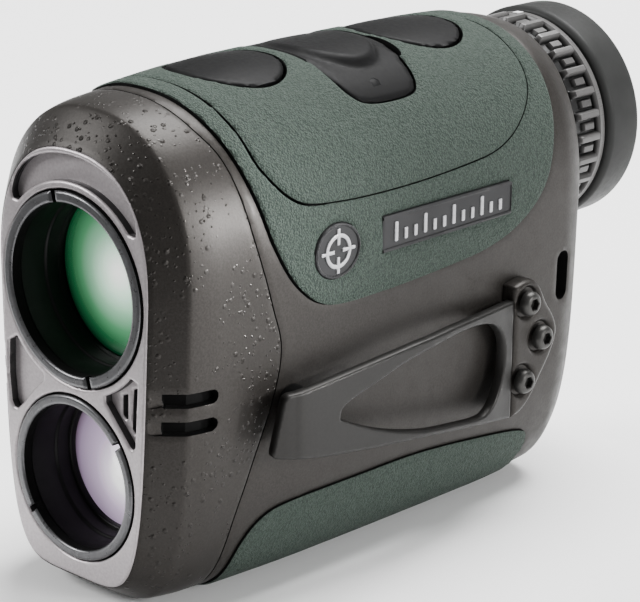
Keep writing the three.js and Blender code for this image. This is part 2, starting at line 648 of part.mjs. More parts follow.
const eyecup = turned(
  [[14.7, 59.5], [18.2, 59.5], [18.75, 60.1], [18.75, 66.5], [18.1, REAR_Y], [15.8, REAR_Y],
    [12.8, 67.3], [12.8, 66.3], [14.7, 66.3], [14.7, 59.5]],
  EYEPIECE_Z,
  32,
);
piece("eyecup", eyecup, 0x2c2e2d, 0.9, 0);

// ---- belt clip ----------------------------------------------------------------------------------------------
const ARM_OUTLINE = [
  [CLIP.bendY - 0.15, 37.6], [10.7, 37.6], [2.5, 37.3], [-12.4, 36.4], [-26.2, 35.5], [-27.0, 34.8],
  [-28.7, 26.2], [-28.2, 25.5], [-18.1, 23.6], [-6.7, 22.1], [5.2, 20.8], [16.0, 19.1],
  [CLIP.bendY - 0.15, 17.3],
];
const WINDOW_OUTLINE = new THREE.SplineCurve(
  toVectors([[-15.7, 29.1], [-14.6, 31.2], [-6.8, 33.3], [0.2, 35.0], [8.2, 36.0], [14.0, 36.3], [19.3, 35.9],
    [22.8, 34.6], [25.0, 31.8], [25.5, 28.6], [24.9, 25.2], [23.2, 21.9], [21.2, 20.3], [18.6, 19.9],
    [11.8, 20.8], [3.8, 22.1], [-3.5, 24.0], [-9.5, 26.2], [-15.7, 29.1]]),
).getPoints(36).slice(0, -1);

function clipArm() {
  const centre = CLIP.inner + CLIP.thickness / 2;
  const path = smooth(
    [[CLIP.base, CLIP.bendY - 0.15], [24.8, 26], [25.5, 21], [26.3, 14], [27.0, 7], [centre, 1],
      [centre, -21], [26.7, -25.4], [25.5, -28.9]],
    24,
  );
  const side = (sign) =>
    path.map((point, i) => {
      const run = path[Math.min(i + 1, path.length - 1)].clone().sub(path[Math.max(i - 1, 0)]).normalize();
      const reach = (sign * CLIP.thickness) / 2;
      return new THREE.Vector2(point.x - run.y * reach, point.y + run.x * reach);
    });
  const strip = alongZ([...side(1), ...side(-1).reverse()], 10, 45);
  return strip.intersect(alongX(toVectors(ARM_OUTLINE), 20, 32)).subtract(alongX(WINDOW_OUTLINE, 20, 32));
}
piece("clip_arm", clipArm(), 0x4d4c48, 0.35, 0.8);

const baseOutline = smooth(
  [[CLIP.bendY + 0.15, 39.9], [31.5, 40.4], [34.2, 39.4], [36.4, 35.8], [38.6, 32.6], [39.3, 29.6],
    [37.9, 26.2], [35.2, 22.4], [33, 19.4], [30.6, 17.6], [CLIP.bendY + 0.15, 17.0]],
  24,
);
const BASE_FACE = CLIP.base + CLIP.thickness / 2;
const clipBase = less(
  alongX(baseOutline, CLIP.base - 1.4, BASE_FACE),
  ...CLIP_SCREWS.map(([y, z]) => rodX(1.4, 15, 30, y, z, 16)),
  ...CLIP_SCREWS.map(([y, z]) => rodX(SPOT_FACE.r, BASE_FACE - SPOT_FACE.depth, 30, y, z, 24)),
);
piece("clip_base", clipBase, 0x4d4c48, 0.35, 0.8);

function clipScrew(name, y, z) {
  const seat = BASE_FACE - SPOT_FACE.depth + GAP;
  const headProfile = [[0, 0], [2.1, 0], [2.1, 0.9], [1.75, 1.6], [1.1, 2.0], [0, 2.0]];
  const turn = new THREE.Matrix4().makeRotationZ(-Math.PI / 2);
  const head = solid(new THREE.LatheGeometry(toVectors(headProfile), 24), at(seat, y, z).multiply(turn));
  const socket = rodX(1.0, seat + 1.0, seat + 3, y, z, 6);
  metal(name, head.add(rodX(1.1, 20.4, seat + 0.5, y, z, 16)).subtract(socket));
}
CLIP_SCREWS.forEach(([y, z], i) => clipScrew("clip_screw_" + (i + 1), y, z));

export default root;
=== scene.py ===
import math

import bmesh
import bpy
import numpy as np
from mathutils import Matrix, Vector, kdtree


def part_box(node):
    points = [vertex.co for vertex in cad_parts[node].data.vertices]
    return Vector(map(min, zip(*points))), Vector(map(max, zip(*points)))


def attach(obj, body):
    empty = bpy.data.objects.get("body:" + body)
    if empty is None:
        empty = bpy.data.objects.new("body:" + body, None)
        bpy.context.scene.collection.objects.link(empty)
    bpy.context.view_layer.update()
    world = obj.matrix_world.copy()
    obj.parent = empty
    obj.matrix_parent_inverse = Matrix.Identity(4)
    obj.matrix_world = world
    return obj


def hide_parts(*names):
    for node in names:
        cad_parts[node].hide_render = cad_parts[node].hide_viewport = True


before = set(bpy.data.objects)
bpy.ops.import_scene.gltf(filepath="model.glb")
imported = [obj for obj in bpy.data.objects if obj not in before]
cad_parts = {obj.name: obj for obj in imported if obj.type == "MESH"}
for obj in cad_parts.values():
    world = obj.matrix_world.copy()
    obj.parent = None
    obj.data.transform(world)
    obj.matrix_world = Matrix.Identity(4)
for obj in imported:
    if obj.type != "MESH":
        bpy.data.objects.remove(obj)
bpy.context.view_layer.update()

MM = 0.001  # all shapes below are in millimetres, in the frame's own axes
HOUSING = "housing"

# ---- the body surface, with the same sections as the CAD ----------------------------------------
# y, half width, top z, bottom z, roundness above and below the middle, narrowing to the bottom
SECTIONS = np.array([
    (-46.0, 16.6, 72.4, 3.4, 2.4, 5.2, 0.11),
    (-42.0, 20.5, 77.4, 0.9, 2.3, 4.6, 0.08),
    (-41.6, 20.87, 77.8, 0.75, 2.3, 4.6, 0.079),
    (-41.2, 21.2, 78.1, 0.7, 2.3, 4.6, 0.078),
    (-36.0, 22.0, 78.9, 0.5, 2.3, 4.6, 0.05),
    (-11.0, 23.0, 80.1, 0.4, 2.35, 4.7, 0.04),
    (29.0, 22.7, 79.35, 0.4, 2.35, 4.5, 0.035),
    (44.0, 22.3, 78.5, 1.0, 2.35, 4.4, 0.035),
    (48.5, 21.2, 77.7, 2.6, 2.3, 4.1, 0.04),
    (49.7, 19.4, 77.0, 4.6, 2.3, 4.0, 0.04),
])
MID_Z = 51.9
VALLEY_RADIUS = 16.8  # of the focusing ring, between its ribs
FRONT_Y = -46.0
CELL = 0.6  # spacing of the fine surface grids


def centre_mm(node):
    low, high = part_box(node)
    return (low + high) / 2 / MM


OBJECTIVE = {"z": centre_mm("objective_ring").z, "ring": 15.4, "bore": 13.6, "end": -22.0, "lip": 13.15,
             "notches": (105, 285)}
RECEIVER = {"z": centre_mm("receiver_ring").z, "ring": 13.3, "bore": 11.7, "end": -24.0, "lip": 10.7,
            "notches": (39, 219)}
EYE_Z = centre_mm("eyecup").z
BUTTON_RADII = {"menu_button": (10.0, 9.1), "measure_button": (10.2, 9.4)}
SCREWS = [centre_mm("clip_screw_%d" % i) for i in (1, 2, 3)]


def section_values(y):
    """Smooth interpolation through the sections that never overshoots them."""
    ys, values = SECTIONS[:, 0], SECTIONS[:, 1:]
    rise = np.diff(values, axis=0) / np.diff(ys)[:, None]
    slope = np.zeros_like(values)
    slope[0], slope[-1] = rise[0], rise[-1]
    same_way = rise[:-1] * rise[1:] > 0
    total = np.where(same_way, rise[:-1] + rise[1:], 1)
    slope[1:-1] = np.where(same_way, 2 * rise[:-1] * rise[1:] / total, 0)
    k = np.clip(np.searchsorted(ys, y, "right") - 1, 0, len(ys) - 2)
    step = (ys[k + 1] - ys[k])[:, None]
    t = np.clip((y - ys[k])[:, None] / step, 0, 1)
    start = (2 * t**3 - 3 * t**2 + 1) * values[k] + (t**3 - 2 * t**2 + t) * step * slope[k]
    end = (3 * t**2 - 2 * t**3) * values[k + 1] + (t**3 - t**2) * step * slope[k + 1]
    return (start + end).T


def body_point(angle, y):
    half, top, bottom, n_top, n_bottom, taper = section_values(y)
    c, s = np.cos(angle), np.sin(angle)
    power = np.where(s >= 0, n_top, n_bottom)
    reach = (np.abs(c) ** power + np.abs(s) ** power) ** (-1 / power)
    down = np.where(s >= 0, 0, -s * reach)
    x = half * c * reach * (1 - taper * down)
    z = MID_Z + s * reach * np.where(s >= 0, top - MID_Z, MID_Z - bottom)
    return np.stack([x, y, z], 1)


def even_angles():
    """Angle as a function of arc length round the middle section."""
    angles = np.linspace(0, 2 * math.pi, 4001)
    points = body_point(angles, np.zeros_like(angles))
    run = np.concatenate([[0], np.cumsum(np.linalg.norm(np.diff(points, axis=0), axis=1))])
    return run, angles


ARC, ARC_ANGLE = even_angles()
GIRTH = ARC[-1]
COLUMNS = 4 * round(GIRTH / CELL / 4)
BODY_END = 49.7
NECK = {"r": 16.8, "bore": 12.6, "base": 50.3, "end": 51.6}
CAP_LENGTH = 3.0  # grid length given to the rear face, between the body's edge and the neck
NECK_LENGTH = 1.6
FACE_LENGTH = 4.0


def body_surface(u, v):
    """u runs round the body and v along it, then over the rear face, the neck and its end face."""
    angle = np.interp(np.mod(u, GIRTH), ARC, ARC_ANGLE)
    skin = body_point(angle, np.minimum(v, BODY_END))

    def ring(radius, y):
        x, z = radius * np.cos(angle), EYE_Z + radius * np.sin(angle)
        return np.stack([x, y + 0 * angle, z], 1)

    over_face = np.clip((v - BODY_END) / CAP_LENGTH, 0, 1)[:, None]
    along_neck = np.clip((v - BODY_END - CAP_LENGTH) / NECK_LENGTH, 0, 1)
    inwards = np.clip((v - BODY_END - CAP_LENGTH - NECK_LENGTH) / FACE_LENGTH, 0, 1)
    points = skin * (1 - over_face) + ring(NECK["r"], NECK["base"]) * over_face
    neck = ring(NECK["r"], NECK["base"] + along_neck * (NECK["end"] - NECK["base"]))
    points = np.where((along_neck > 0)[:, None], neck, points)
    end_face = ring(NECK["r"] - inwards * (NECK["r"] - NECK["bore"]), NECK["end"])
    return np.where((inwards > 0)[:, None], end_face, points)


# ---- signed distances to the seam outlines, negative inside -------------------------------------
def spline(points, per_leg=8):
    """A smooth curve through given points."""
    p = np.array(points, float)
    p = np.vstack([2 * p[0] - p[1], p, 2 * p[-1] - p[-2]])
    out = []
    for a, b, c, d in zip(p[:-3], p[1:-2], p[2:-1], p[3:]):
        for t in np.linspace(0, 1, per_leg, endpoint=False):
            out.append(0.5 * (2 * b + (c - a) * t + (2 * a - 5 * b + 4 * c - d) * t * t
                              + (3 * b - a - 3 * c + d) * t**3))
    out.append(p[-2])
    return np.array(out)


def signed_distance(points, polygon):
    a = polygon
    b = np.roll(polygon, -1, axis=0)
    best = np.full(len(points), 1e9)
    inside = np.zeros(len(points), bool)
    for (ax, ay), (bx, by) in zip(a, b):
        dx, dy = bx - ax, by - ay
        length = dx * dx + dy * dy
        if length < 1e-12:
            continue
        t = np.clip(((points[:, 0] - ax) * dx + (points[:, 1] - ay) * dy) / length, 0, 1)
        gap = np.hypot(points[:, 0] - ax - t * dx, points[:, 1] - ay - t * dy)
        best = np.minimum(best, gap)
        if ay != by:
            crosses = (ay > points[:, 1]) != (by > points[:, 1])
            inside ^= crosses & (points[:, 0] < ax + (points[:, 1] - ay) * dx / dy)
    return np.where(inside, -best, best)


FAR = 99.0
UPPER_SIDE = 60.0  # outlines in plan view only count above this height


def in_side_view(polygon, side=0):
    """An outline in (y, z), cut through both sides or only the one with the given sign of x."""
    def distance(p):
        d = signed_distance(p[:, 1:3], polygon)
        return np.where(p[:, 0] * side < -0.5, FAR, d) if side else d
    return distance


def in_plan_view(polygon):
    """An outline in (x, y) on the upper side of the body."""
    return lambda p: np.where(p[:, 2] > UPPER_SIDE, signed_distance(p[:, :2], polygon), FAR)


def plan_ellipse(x, y, rx, ry, low=UPPER_SIDE, high=200.0):
    """An ellipse in (x, y) that only counts between two heights."""
    def distance(p):
        dx, dy = p[:, 0] - x, p[:, 1] - y
        k = np.hypot(dx / rx, dy / ry) + 1e-9
        slope = np.hypot(dx / rx**2, dy / ry**2) / k + 1e-9
        return np.where((p[:, 2] > low) & (p[:, 2] < high), (k - 1) / slope, FAR)
    return distance


def arc(radius, cx, cz, start, end, steps=24):
    """Points along a circle, between two angles in degrees."""
    a = np.radians(np.linspace(start, end, steps + 1))
    return np.stack([cx + radius * np.cos(a), cz + radius * np.sin(a)], 1)


def circle(radius, cx, cz, steps=24):
    return arc(radius, cx, cz, 0, 360, steps)[:-1]


def inset(outline, distance):
    """The line that lies inside an outline at the given distance, so that edges are rounded evenly."""
    return lambda p: outline(p) + distance


ABOVE, BELOW = 95.0, -9.0
BEZEL_SEAM = spline([(-36, ABOVE), (-33.4, 78), (-31, 71.5), (-28.8, 59.5), (-25.4, 48.5), (-23.4, 41.5),
                     (-24.6, 34), (-29, 22), (-32, 11), (-33.8, BELOW)])
BEZEL = np.vstack([BEZEL_SEAM, [(-60, BELOW), (-60, ABOVE)]])
ARMOUR_LINE = spline([(-31.6, 80), (-30, 74), (-27.6, 65), (-25.2, 57.5), (-20.6, 50.4), (-14, 46.2),
                      (-2.3, 45.6), (14, 46.3), (24, 47.3), (31.6, 49.8), (37.6, 54.6), (40.8, 62),
                      (42.6, 71), (42.9, 80)])
ARMOUR = np.vstack([ARMOUR_LINE, [(42.9, ABOVE), (-31.6, ABOVE)]])
TOP_LINE = spline([(-27.4, 80), (-26.2, 74), (-25, 69), (-19.6, 63.6), (-11, 62), (3, 61.5), (17, 61.9),
                   (27, 63), (34, 66.6), (38.6, 72), (39.9, 80)])
TOP = np.vstack([TOP_LINE, [(39.9, ABOVE), (-27.4, ABOVE)]])
LOWER_LINE = spline([(-30.6, 3), (-29.2, 9.5), (-25.4, 13.6), (-19, 14.9), (-4, 15.1), (9, 15), (22, 13.8),
                     (36, 11.7), (39.2, 9), (38.4, 3)])
LOWER = np.vstack([LOWER_LINE, [(38.4, BELOW), (-30.6, BELOW)]])
DOOR = spline([(-13.9, -2.1), (0, -2.4), (11, -2.1), (14.8, -0.9), (16.2, 2.6), (16.2, 10.8), (15, 13.6),
               (11.5, 14.9), (5, 15.9), (-5, 15.9), (-13.9, 15.2)])
DOOR_NOTCH = (5.6, 15.6, 4.3, 1.7)  # finger notch behind the door: x, y and the two radii
TRIPOD = (0, -16, 5.3, 5.3)
DOOR_MARK = np.array([(12.3, 5.2), (14.4, 4.6), (13.8, 7.2)])
BATTERY_WELL = np.array([(-14.2, -1.4), (14.2, -1.4), (14.2, 15.0), (-14.2, 15.0)])
LANYARD = np.vstack([arc(1.55, 44.05, 40.6, 0, 180, 10), arc(1.55, 44.05, 35.0, 180, 360, 10)])
PLATE = np.array([(-2.0, 51.9), (28.5, 52.1), (28.5, 57.7), (-2.0, 58.0)])
BADGE_AT = (-12.2, 54.6)
BADGE_RADII = (5.1, 4.5)
CLIP_REST = (2.7, -21.2, 32.2)  # radius, y and z of the boss under the clip's free end
SLOT_RADIUS = 1.15
SLOT_END_Y = -37.05
SLOT_FRONT_Y, SHELF_FRONT_Y = -44.2, -45.6
UPPER_SLOT_Z, LOWER_SLOT_Z = 36.6, 32.1


def badge_oval(shrink=0.0):
    return circle(1.0, 0, 0, 60) * (BADGE_RADII[0] - shrink, BADGE_RADII[1] - shrink) + BADGE_AT


def bevel_slot(z, front):
    """A slot across the bevel with a rounded rear end, from the given y."""
    return np.vstack([[(front, z - SLOT_RADIUS)], arc(SLOT_RADIUS, SLOT_END_Y, z, -90, 90, 8),
                      [(front, z + SLOT_RADIUS)]])


def grown(polygon, distance):
    """The polygon with each corner moved outwards."""
    before, after = np.roll(polygon, 1, 0), np.roll(polygon, -1, 0)
    run = after - before
    run /= np.linalg.norm(run, axis=1)[:, None]
    area = np.sum(polygon[:, 0] * after[:, 1] - after[:, 0] * polygon[:, 1])
    return polygon + np.stack([run[:, 1], -run[:, 0]], 1) * distance * np.sign(area)


# ---- grids whose vertices are pulled onto the seams ---------------------------------------------
class Grid:
    """A fine grid over place(u, v), with the vertices next to each outline moved onto it."""

    def __init__(self, place, us, vs, outlines, wraps=False, flip=False):
        self.place = place
        n, m = len(us), len(vs)
        u, v = [a.ravel() for a in np.meshgrid(us, vs)]
        row = np.repeat(np.arange(m), n)
        column = np.tile(np.arange(n), m)
        free_v = (row > 0) & (row < m - 1)
        free_u = np.ones(n * m, bool) if wraps else (column > 0) & (column < n - 1)
        cell = max(abs(us[1] - us[0]), np.median(np.diff(vs)))
        moved = np.zeros(n * m, bool)
        on_line = {}
        for name, outline in outlines.items():
            f = outline(place(u, v))
            near = np.where((np.abs(f) < 0.6 * cell) & ~moved)[0]
            start = u[near], v[near]
            f, fu, fv = self._slope(outline, u, v, near, free_u, free_v)
            close = np.abs(f) < 0.56 * cell * np.hypot(fu, fv)
            for _ in range(4):
                self._pull(outline, u, v, near[close], free_u, free_v)
            far = np.hypot(u[near] - start[0], v[near] - start[1]) > 0.72 * cell
            u[near[far]], v[near[far]] = start[0][far], start[1][far]
            landed = near[np.abs(outline(place(u[near], v[near]))) < 0.02]
            moved[landed] = True
            on_line[name] = landed
        self.points = place(u, v)
        self.inside = {}
        signs = {}
        for name, outline in outlines.items():
            f = outline(self.points)
            f[on_line[name]] = 0
            f[np.abs(f) < 0.02] = 0
            signs[name] = f
        quads = self._quads(n, m, wraps)
        if flip:
            quads = quads[:, ::-1]
        self.faces = self._split(quads, signs)
        for name, f in signs.items():
            total = np.where(self.faces >= 0, f[np.maximum(self.faces, 0)], 0).sum(1)
            self.inside[name] = total < 0
        self.normals = self._normals()

    def _slope(self, outline, u, v, some, free_u, free_v):
        e = 0.02
        un, vn = u[some], v[some]
        f = outline(self.place(un, vn))
        fu = (outline(self.place(un + e, vn)) - f) / e * free_u[some]
        fv = (outline(self.place(un, vn + e)) - f) / e * free_v[some]
        return f, fu, fv

    def _pull(self, outline, u, v, some, free_u, free_v):
        f, fu, fv = self._slope(outline, u, v, some, free_u, free_v)
        g = fu**2 + fv**2
        step = np.where(g > 0.01, f / np.maximum(g, 0.01), 0)
        u[some] -= step * fu
        v[some] -= step * fv

    @staticmethod
    def _quads(n, m, wraps):
        i = np.arange(n if wraps else n - 1)
        j = np.arange(m - 1)
        i, j = [a.ravel() for a in np.meshgrid(i, j)]
        k = (i + 1) % n
        return np.stack([j * n + i, j * n + k, (j + 1) * n + k, (j + 1) * n + i], 1)

    @staticmethod
    def _split(quads, signs):
        """Quads that a seam crosses corner to corner become two triangles (fourth index -1)."""
        diagonal = np.zeros(len(quads), int)
        for f in signs.values():
            q = f[quads]
            crossed = (q.min(1) < 0) & (q.max(1) > 0)
            diagonal[crossed & (q[:, 0] == 0) & (q[:, 2] == 0)] = 1
            diagonal[crossed & (q[:, 1] == 0) & (q[:, 3] == 0)] = 2
        none = np.full(len(quads), -1)
        a, b, c, d = quads.T
        first = diagonal == 1
        second = diagonal == 2
        return np.vstack([
            quads[diagonal == 0],
            np.stack([a, b, c, none], 1)[first], np.stack([a, c, d, none], 1)[first],
            np.stack([a, b, d, none], 1)[second], np.stack([b, c, d, none], 1)[second],
        ])

    def _normals(self):
        p = self.points
        f = self.faces
        last = np.where(f[:, 3] < 0, f[:, 2], f[:, 3])
        n = np.cross(p[f[:, 2]] - p[f[:, 0]], p[last] - p[f[:, 1]])
        tri = f[:, 3] < 0
        n[tri] = np.cross(p[f[tri, 1]] - p[f[tri, 0]], p[f[tri, 2]] - p[f[tri, 0]])
        out = np.zeros_like(p)
        for corner in range(4):
            used = f[:, corner] >= 0
            np.add.at(out, f[used, corner], n[used])
        return out / (np.linalg.norm(out, axis=1)[:, None] + 1e-12)


# ---- turning grid regions into closed solids ----------------------------------------------------
def finish_mesh(name, vertices, faces, material, sharp=50, groove=None, dark_from=None):
    """Faces from number dark_from on are groove walls and hidden sides, with the groove material: a dark
    joint colour on the seams and painted shade in the slots and pockets.
    """
    mesh = bpy.data.meshes.new(name)
    mesh.from_pydata([tuple(MM * c for c in v) for v in vertices], [], faces)
    if groove:
        mesh.polygons.foreach_set("material_index", [int(i >= dark_from) for i in range(len(faces))])
    mesh.validate()
    bm = bmesh.new()
    bm.from_mesh(mesh)
    bmesh.ops.remove_doubles(bm, verts=bm.verts, dist=1e-7)
    bmesh.ops.recalc_face_normals(bm, faces=bm.faces)
    bm.to_mesh(mesh)
    bm.free()
    mesh.polygons.foreach_set("use_smooth", [True] * len(mesh.polygons))
    mesh.set_sharp_from_angle(angle=math.radians(sharp))
    mesh.materials.append(material)
    if groove:
        mesh.materials.append(groove)
    obj = bpy.data.objects.new(name, mesh)
    bpy.context.scene.collection.objects.link(obj)
    return obj


def rim_drop(points, rim, radius):
    """How far each point is lowered so that the edge is rounded towards the rim polyline."""
    tree = kdtree.KDTree(4 * len(rim))
    k = 0
    for a, b in rim:
        for t in (0, 0.25, 0.5, 0.75):
            tree.insert(Vector(a * (1 - t) + b * t), k)
            k += 1
    tree.balance()
    drop = np.zeros(len(points))
    for i, p in enumerate(points):
        d = tree.find(Vector(p))[2]
        if d < radius:
            drop[i] = radius - math.sqrt(radius**2 - (radius - d) ** 2)
    return drop


def terrace(name, grid, levels, back, material, gap=0.12, radius=0.35, ground=None, groove=None,
            dark_below=-1.0):
    """A closed solid from parts of a grid. levels is a list of (face mask, height along the normal);
    later entries win, and a height of None leaves the faces out. back is the height of the hidden side.
    Walls, and levels under dark_below, take the groove material if there is one: a dark joint colour on the
    seams and painted shade on the walls and floors of slots, notches and pockets."""
    label = np.full(len(grid.faces), -1)
    for k, (mask, height) in enumerate(levels):
        label[mask] = -1 if height is None else k
    count = (len(grid.points),)
    heights = [np.broadcast_to(np.asarray(0 if h is None else h, float), count) for _, h in levels]
    back = np.broadcast_to(np.asarray(back, float), count)
    gap = np.broadcast_to(np.asarray(gap, float), count)
    kept = np.where(label >= 0)[0]
    edges = {}
    faces = [[v for v in grid.faces[k] if v >= 0] for k in kept]
    for number, face in zip(kept, faces):
        for a, b in zip(face, face[1:] + face[:1]):
            edges[(a, b)] = label[number]
    top = {}
    rims = {}
    outward = {}
    walls = []
    for (a, b), level in edges.items():
        other = edges.get((b, a), -1)
        if other == level:
            continue
        here = heights[level][a]
        if other == -1:
            walls.append(((a, level), (b, level), (b, "back"), (a, "back")))
            run = grid.points[b] - grid.points[a]
            side = np.cross(run, grid.normals[a])
            side /= np.linalg.norm(side) + 1e-12
            for corner in (a, b):
                outward[(corner, level)] = outward.get((corner, level), 0) + side
                outward[(corner, "back")] = outward.get((corner, "back"), 0) + side
        elif here > heights[other][a]:
            walls.append(((a, level), (b, level), (b, other), (a, other)))
        if other == -1 or here > heights[other][a]:
            rims.setdefault(level, []).append((grid.points[a], grid.points[b]))
    used = sorted(set((v, label[n]) for n, f in zip(kept, faces) for v in f))
    used += sorted(set((v, "back") for f in faces for v in f), key=lambda key: key[0])
    index = {key: i for i, key in enumerate(used)}
    vertices = np.zeros((len(used), 3))
    by_level = {}
    for i, (v, level) in enumerate(used):
        by_level.setdefault(level, []).append((i, v))
    for level, members in by_level.items():
        at = np.array([i for i, _ in members])
        v = np.array([v for _, v in members])
        height = back[v] if level == "back" else heights[level][v]
        if level != "back" and level in rims and radius > 0:
            height = height - rim_drop(grid.points[v], rims[level], radius)
        vertices[at] = grid.points[v] + grid.normals[v] * np.reshape(height, (-1, 1))
    for key, direction in outward.items():
        vertices[index[key]] -= direction / (np.linalg.norm(direction) + 1e-12) * gap[key[0]]
    if ground is not None:
        vertices[:, 2] = np.maximum(vertices[:, 2], ground)
    sunk = np.array([np.max(h) < dark_below for h in heights])[label[kept]]
    shown = [[index[(v, label[n])] for v in f] for n, f in zip(kept, faces)]
    out = [face for face, low in zip(shown, sunk) if not low]
    dark_from = len(out)
    out += [face for face, low in zip(shown, sunk) if low]
    out += [[index[(v, "back")] for v in reversed(f)] for f in faces]
    out += [[index[k] for k in reversed(wall)] for wall in walls]
    return finish_mesh(name, vertices, out, material, 50, groove, dark_from)


# ---- turned parts -------------------------------------------------------------------------------
def rounded(profile, radius, steps=4):
    """A closed profile with each corner rounded by the radius or by what fits."""
    p = [np.array(q, float) for q in profile]
    out = []
    for before, here, after in zip([p[-1]] + p[:-1], p, p[1:] + [p[0]]):
        a, b = before - here, after - here
        la, lb = np.linalg.norm(a), np.linalg.norm(b)
        reach = min(radius, 0.45 * la, 0.45 * lb)
        start, end = here + a / la * reach, here + b / lb * reach
        for t in np.linspace(0, 1, steps):
            out.append((1 - t) ** 2 * start + 2 * t * (1 - t) * here + t * t * end)
    return out


def lathe(name, profile, z, material, segments=144, ripple=None, sharp=50):
    """A closed (radius, y) profile turned about the optical axis at height z."""
    n = len(profile)
    vertices = []
    for i in range(segments):
        a = 2 * math.pi * i / segments
        for r, y in profile:
            radius = r if ripple is None else ripple(a, r, y)
            vertices.append((radius * math.cos(a), y, z + radius * math.sin(a)))
    faces = []
    for i in range(segments):
        k = (i + 1) % segments
        for j in range(n):
            l = (j + 1) % n
            faces.append([i * n + j, i * n + l, k * n + l, k * n + j])
    return finish_mesh(name, vertices, faces, material, sharp)


def lens(name, radius, front, back, bulge, z, material):
    """A lens as a cap grid: curved front, flat edge, slightly curved back."""
    rings, segments = 14, 96
    vertices = [(0, front - bulge, z)]
    faces = []
    reach = np.arange(1, rings + 1) / rings
    profile = [(radius * k, front - bulge * (1 - k * k)) for k in reach]
    profile += [(radius * k, back + 0.5 * bulge * (1 - k * k)) for k in reach[::-1]]
    for r, y in profile:
        for i in range(segments):
            a = 2 * math.pi * i / segments
            vertices.append((r * math.cos(a), y, z + r * math.sin(a)))
    vertices.append((0, back + 0.5 * bulge, z))
    for i in range(segments):
        k = (i + 1) % segments
        faces.append([0, 1 + i, 1 + k])
        for j in range(len(profile) - 1):
            a, b = 1 + j * segments, 1 + (j + 1) * segments
            faces.append([a + i, b + i, b + k, a + k])
        last = 1 + (len(profile) - 1) * segments
        faces.append([last + k, last + i, len(vertices) - 1])
    return finish_mesh(name, vertices, faces, material, 40)


# ---- materials ----------------------------------------------------------------------------------
class Surface:
    """A node material: a principled shader with its colour, roughness and bump from noise."""

    def __init__(self, name, **sockets):
        self.material = bpy.data.materials.new(name)
        self.material.use_nodes = True
        self.tree = self.material.node_tree
        self.shader = self.tree.nodes["Principled BSDF"]
        self.place = self.tree.nodes.new("ShaderNodeTexCoord").outputs["Object"]
        self.height = None
        for socket, value in sockets.items():
            self.shader.inputs[socket.replace("_", " ")].default_value = value

    def node(self, kind, **settings):
        made = self.tree.nodes.new("ShaderNode" + kind)
        for key, value in settings.items():
            if hasattr(made, key):
                setattr(made, key, value)
            else:
                made.inputs[key.replace("_", " ")].default_value = value
        return made

    def link(self, source, target):
        self.tree.links.new(source, target)

    def noise(self, size_mm, detail=3.0, roughness=0.55):
        made = self.node("TexNoise", Scale=1 / (size_mm * MM), Detail=detail, Roughness=roughness)
        self.link(self.place, made.inputs["Vector"])
        return made.outputs["Fac"]

    def cells(self, size_mm):
        made = self.node("TexVoronoi", Scale=1 / (size_mm * MM))
        self.link(self.place, made.inputs["Vector"])
        return made.outputs["Distance"]

    def ramp(self, source, stops):
        made = self.node("ValToRGB")
        elements = made.color_ramp.elements
        while len(elements) < len(stops):
            elements.new(0.5)
        for element, (position, colour) in zip(elements, stops):
            element.position = position
            element.color = (*colour, 1)
        self.link(source, made.inputs["Fac"])
        return made.outputs["Color"]

    def levels(self, source, low, high, to_low, to_high):
        made = self.node("MapRange")
        ends = {"From Min": low, "From Max": high, "To Min": to_low, "To Max": to_high}
        for socket, value in ends.items():
            made.inputs[socket].default_value = value
        self.link(source, made.inputs["Value"])
        return made.outputs["Result"]

    def colour(self, source):
        self.link(source, self.shader.inputs["Base Color"])

    def roughness(self, source):
        self.link(source, self.shader.inputs["Roughness"])

    def bump(self, source, depth_mm, strength=1.0):
        made = self.node("Bump", Strength=strength, Distance=depth_mm * MM)
        self.link(source, made.inputs["Height"])
        if self.height is not None:
            self.link(self.height, made.inputs["Normal"])
        self.height = made.outputs["Normal"]
        self.link(self.height, self.shader.inputs["Normal"])


def scaled(factor, colour):
    return tuple(factor * c for c in colour)


def painted(name, dark, light, droplets=False):
    """Metallic brown-grey paint: fine speckle, with slight mottling or small raised droplets."""
    s = Surface(name, Metallic=0.45, Roughness=0.42, Specular_IOR_Level=0.2)
    s.colour(s.ramp(s.noise(0.35, 2, 0.7), [(0.35, dark), (0.65, light)]))
    s.bump(s.noise(0.4, 2), 0.012)
    if not droplets:
        s.roughness(s.levels(s.noise(2.2, 4), 0.3, 0.7, 0.36, 0.5))
        return s.material
    patches = s.levels(s.noise(11, 2), 0.44, 0.5, 0, 1)
    for size_mm, radius, height_mm in ((1.7, 0.27, 0.22), (0.95, 0.24, 0.1)):
        drops = s.node("Math", operation="MULTIPLY")
        s.link(s.levels(s.cells(size_mm), 0.0, radius, 1, 0), drops.inputs[0])
        s.link(patches, drops.inputs[1])
        s.bump(drops.outputs["Value"], height_mm, 1.0)
    s.roughness(s.levels(drops.outputs["Value"], 0, 0.4, 0.42, 0.12))
    return s.material


def rubber(name, dark, light):
    """Pebbled rubber armour, its colour darker in the grooves between the pebbles as painted shade."""
    s = Surface(name, Roughness=0.72, Specular_IOR_Level=0.15)
    pebble = s.cells(0.33)
    # pebble tops lighter and grooves between them darker: painted shade
    s.colour(s.ramp(pebble, [(0.15, light), (0.75, dark)]))
    s.roughness(s.levels(s.noise(1.2, 3), 0.3, 0.7, 0.62, 0.82))
    s.bump(s.noise(0.25, 2), 0.02)
    s.bump(s.levels(pebble, 0.1, 0.8, 1, 0), 0.14, 1.0)
    s.bump(s.noise(0.7, 3), 0.3, 1.0)
    return s.material


def moulded(name, colour, rough=0.5):
    """Matte moulded plastic or rubber."""
    s = Surface(name, Roughness=rough, Specular_IOR_Level=0.06)
    s.colour(s.ramp(s.noise(4, 3), [(0.3, scaled(0.9, colour)), (0.7, scaled(1.1, colour))]))
    s.roughness(s.levels(s.noise(0.8, 3), 0.3, 0.7, rough - 0.06, rough + 0.06))
    s.bump(s.noise(0.18, 2), 0.008)
    return s.material


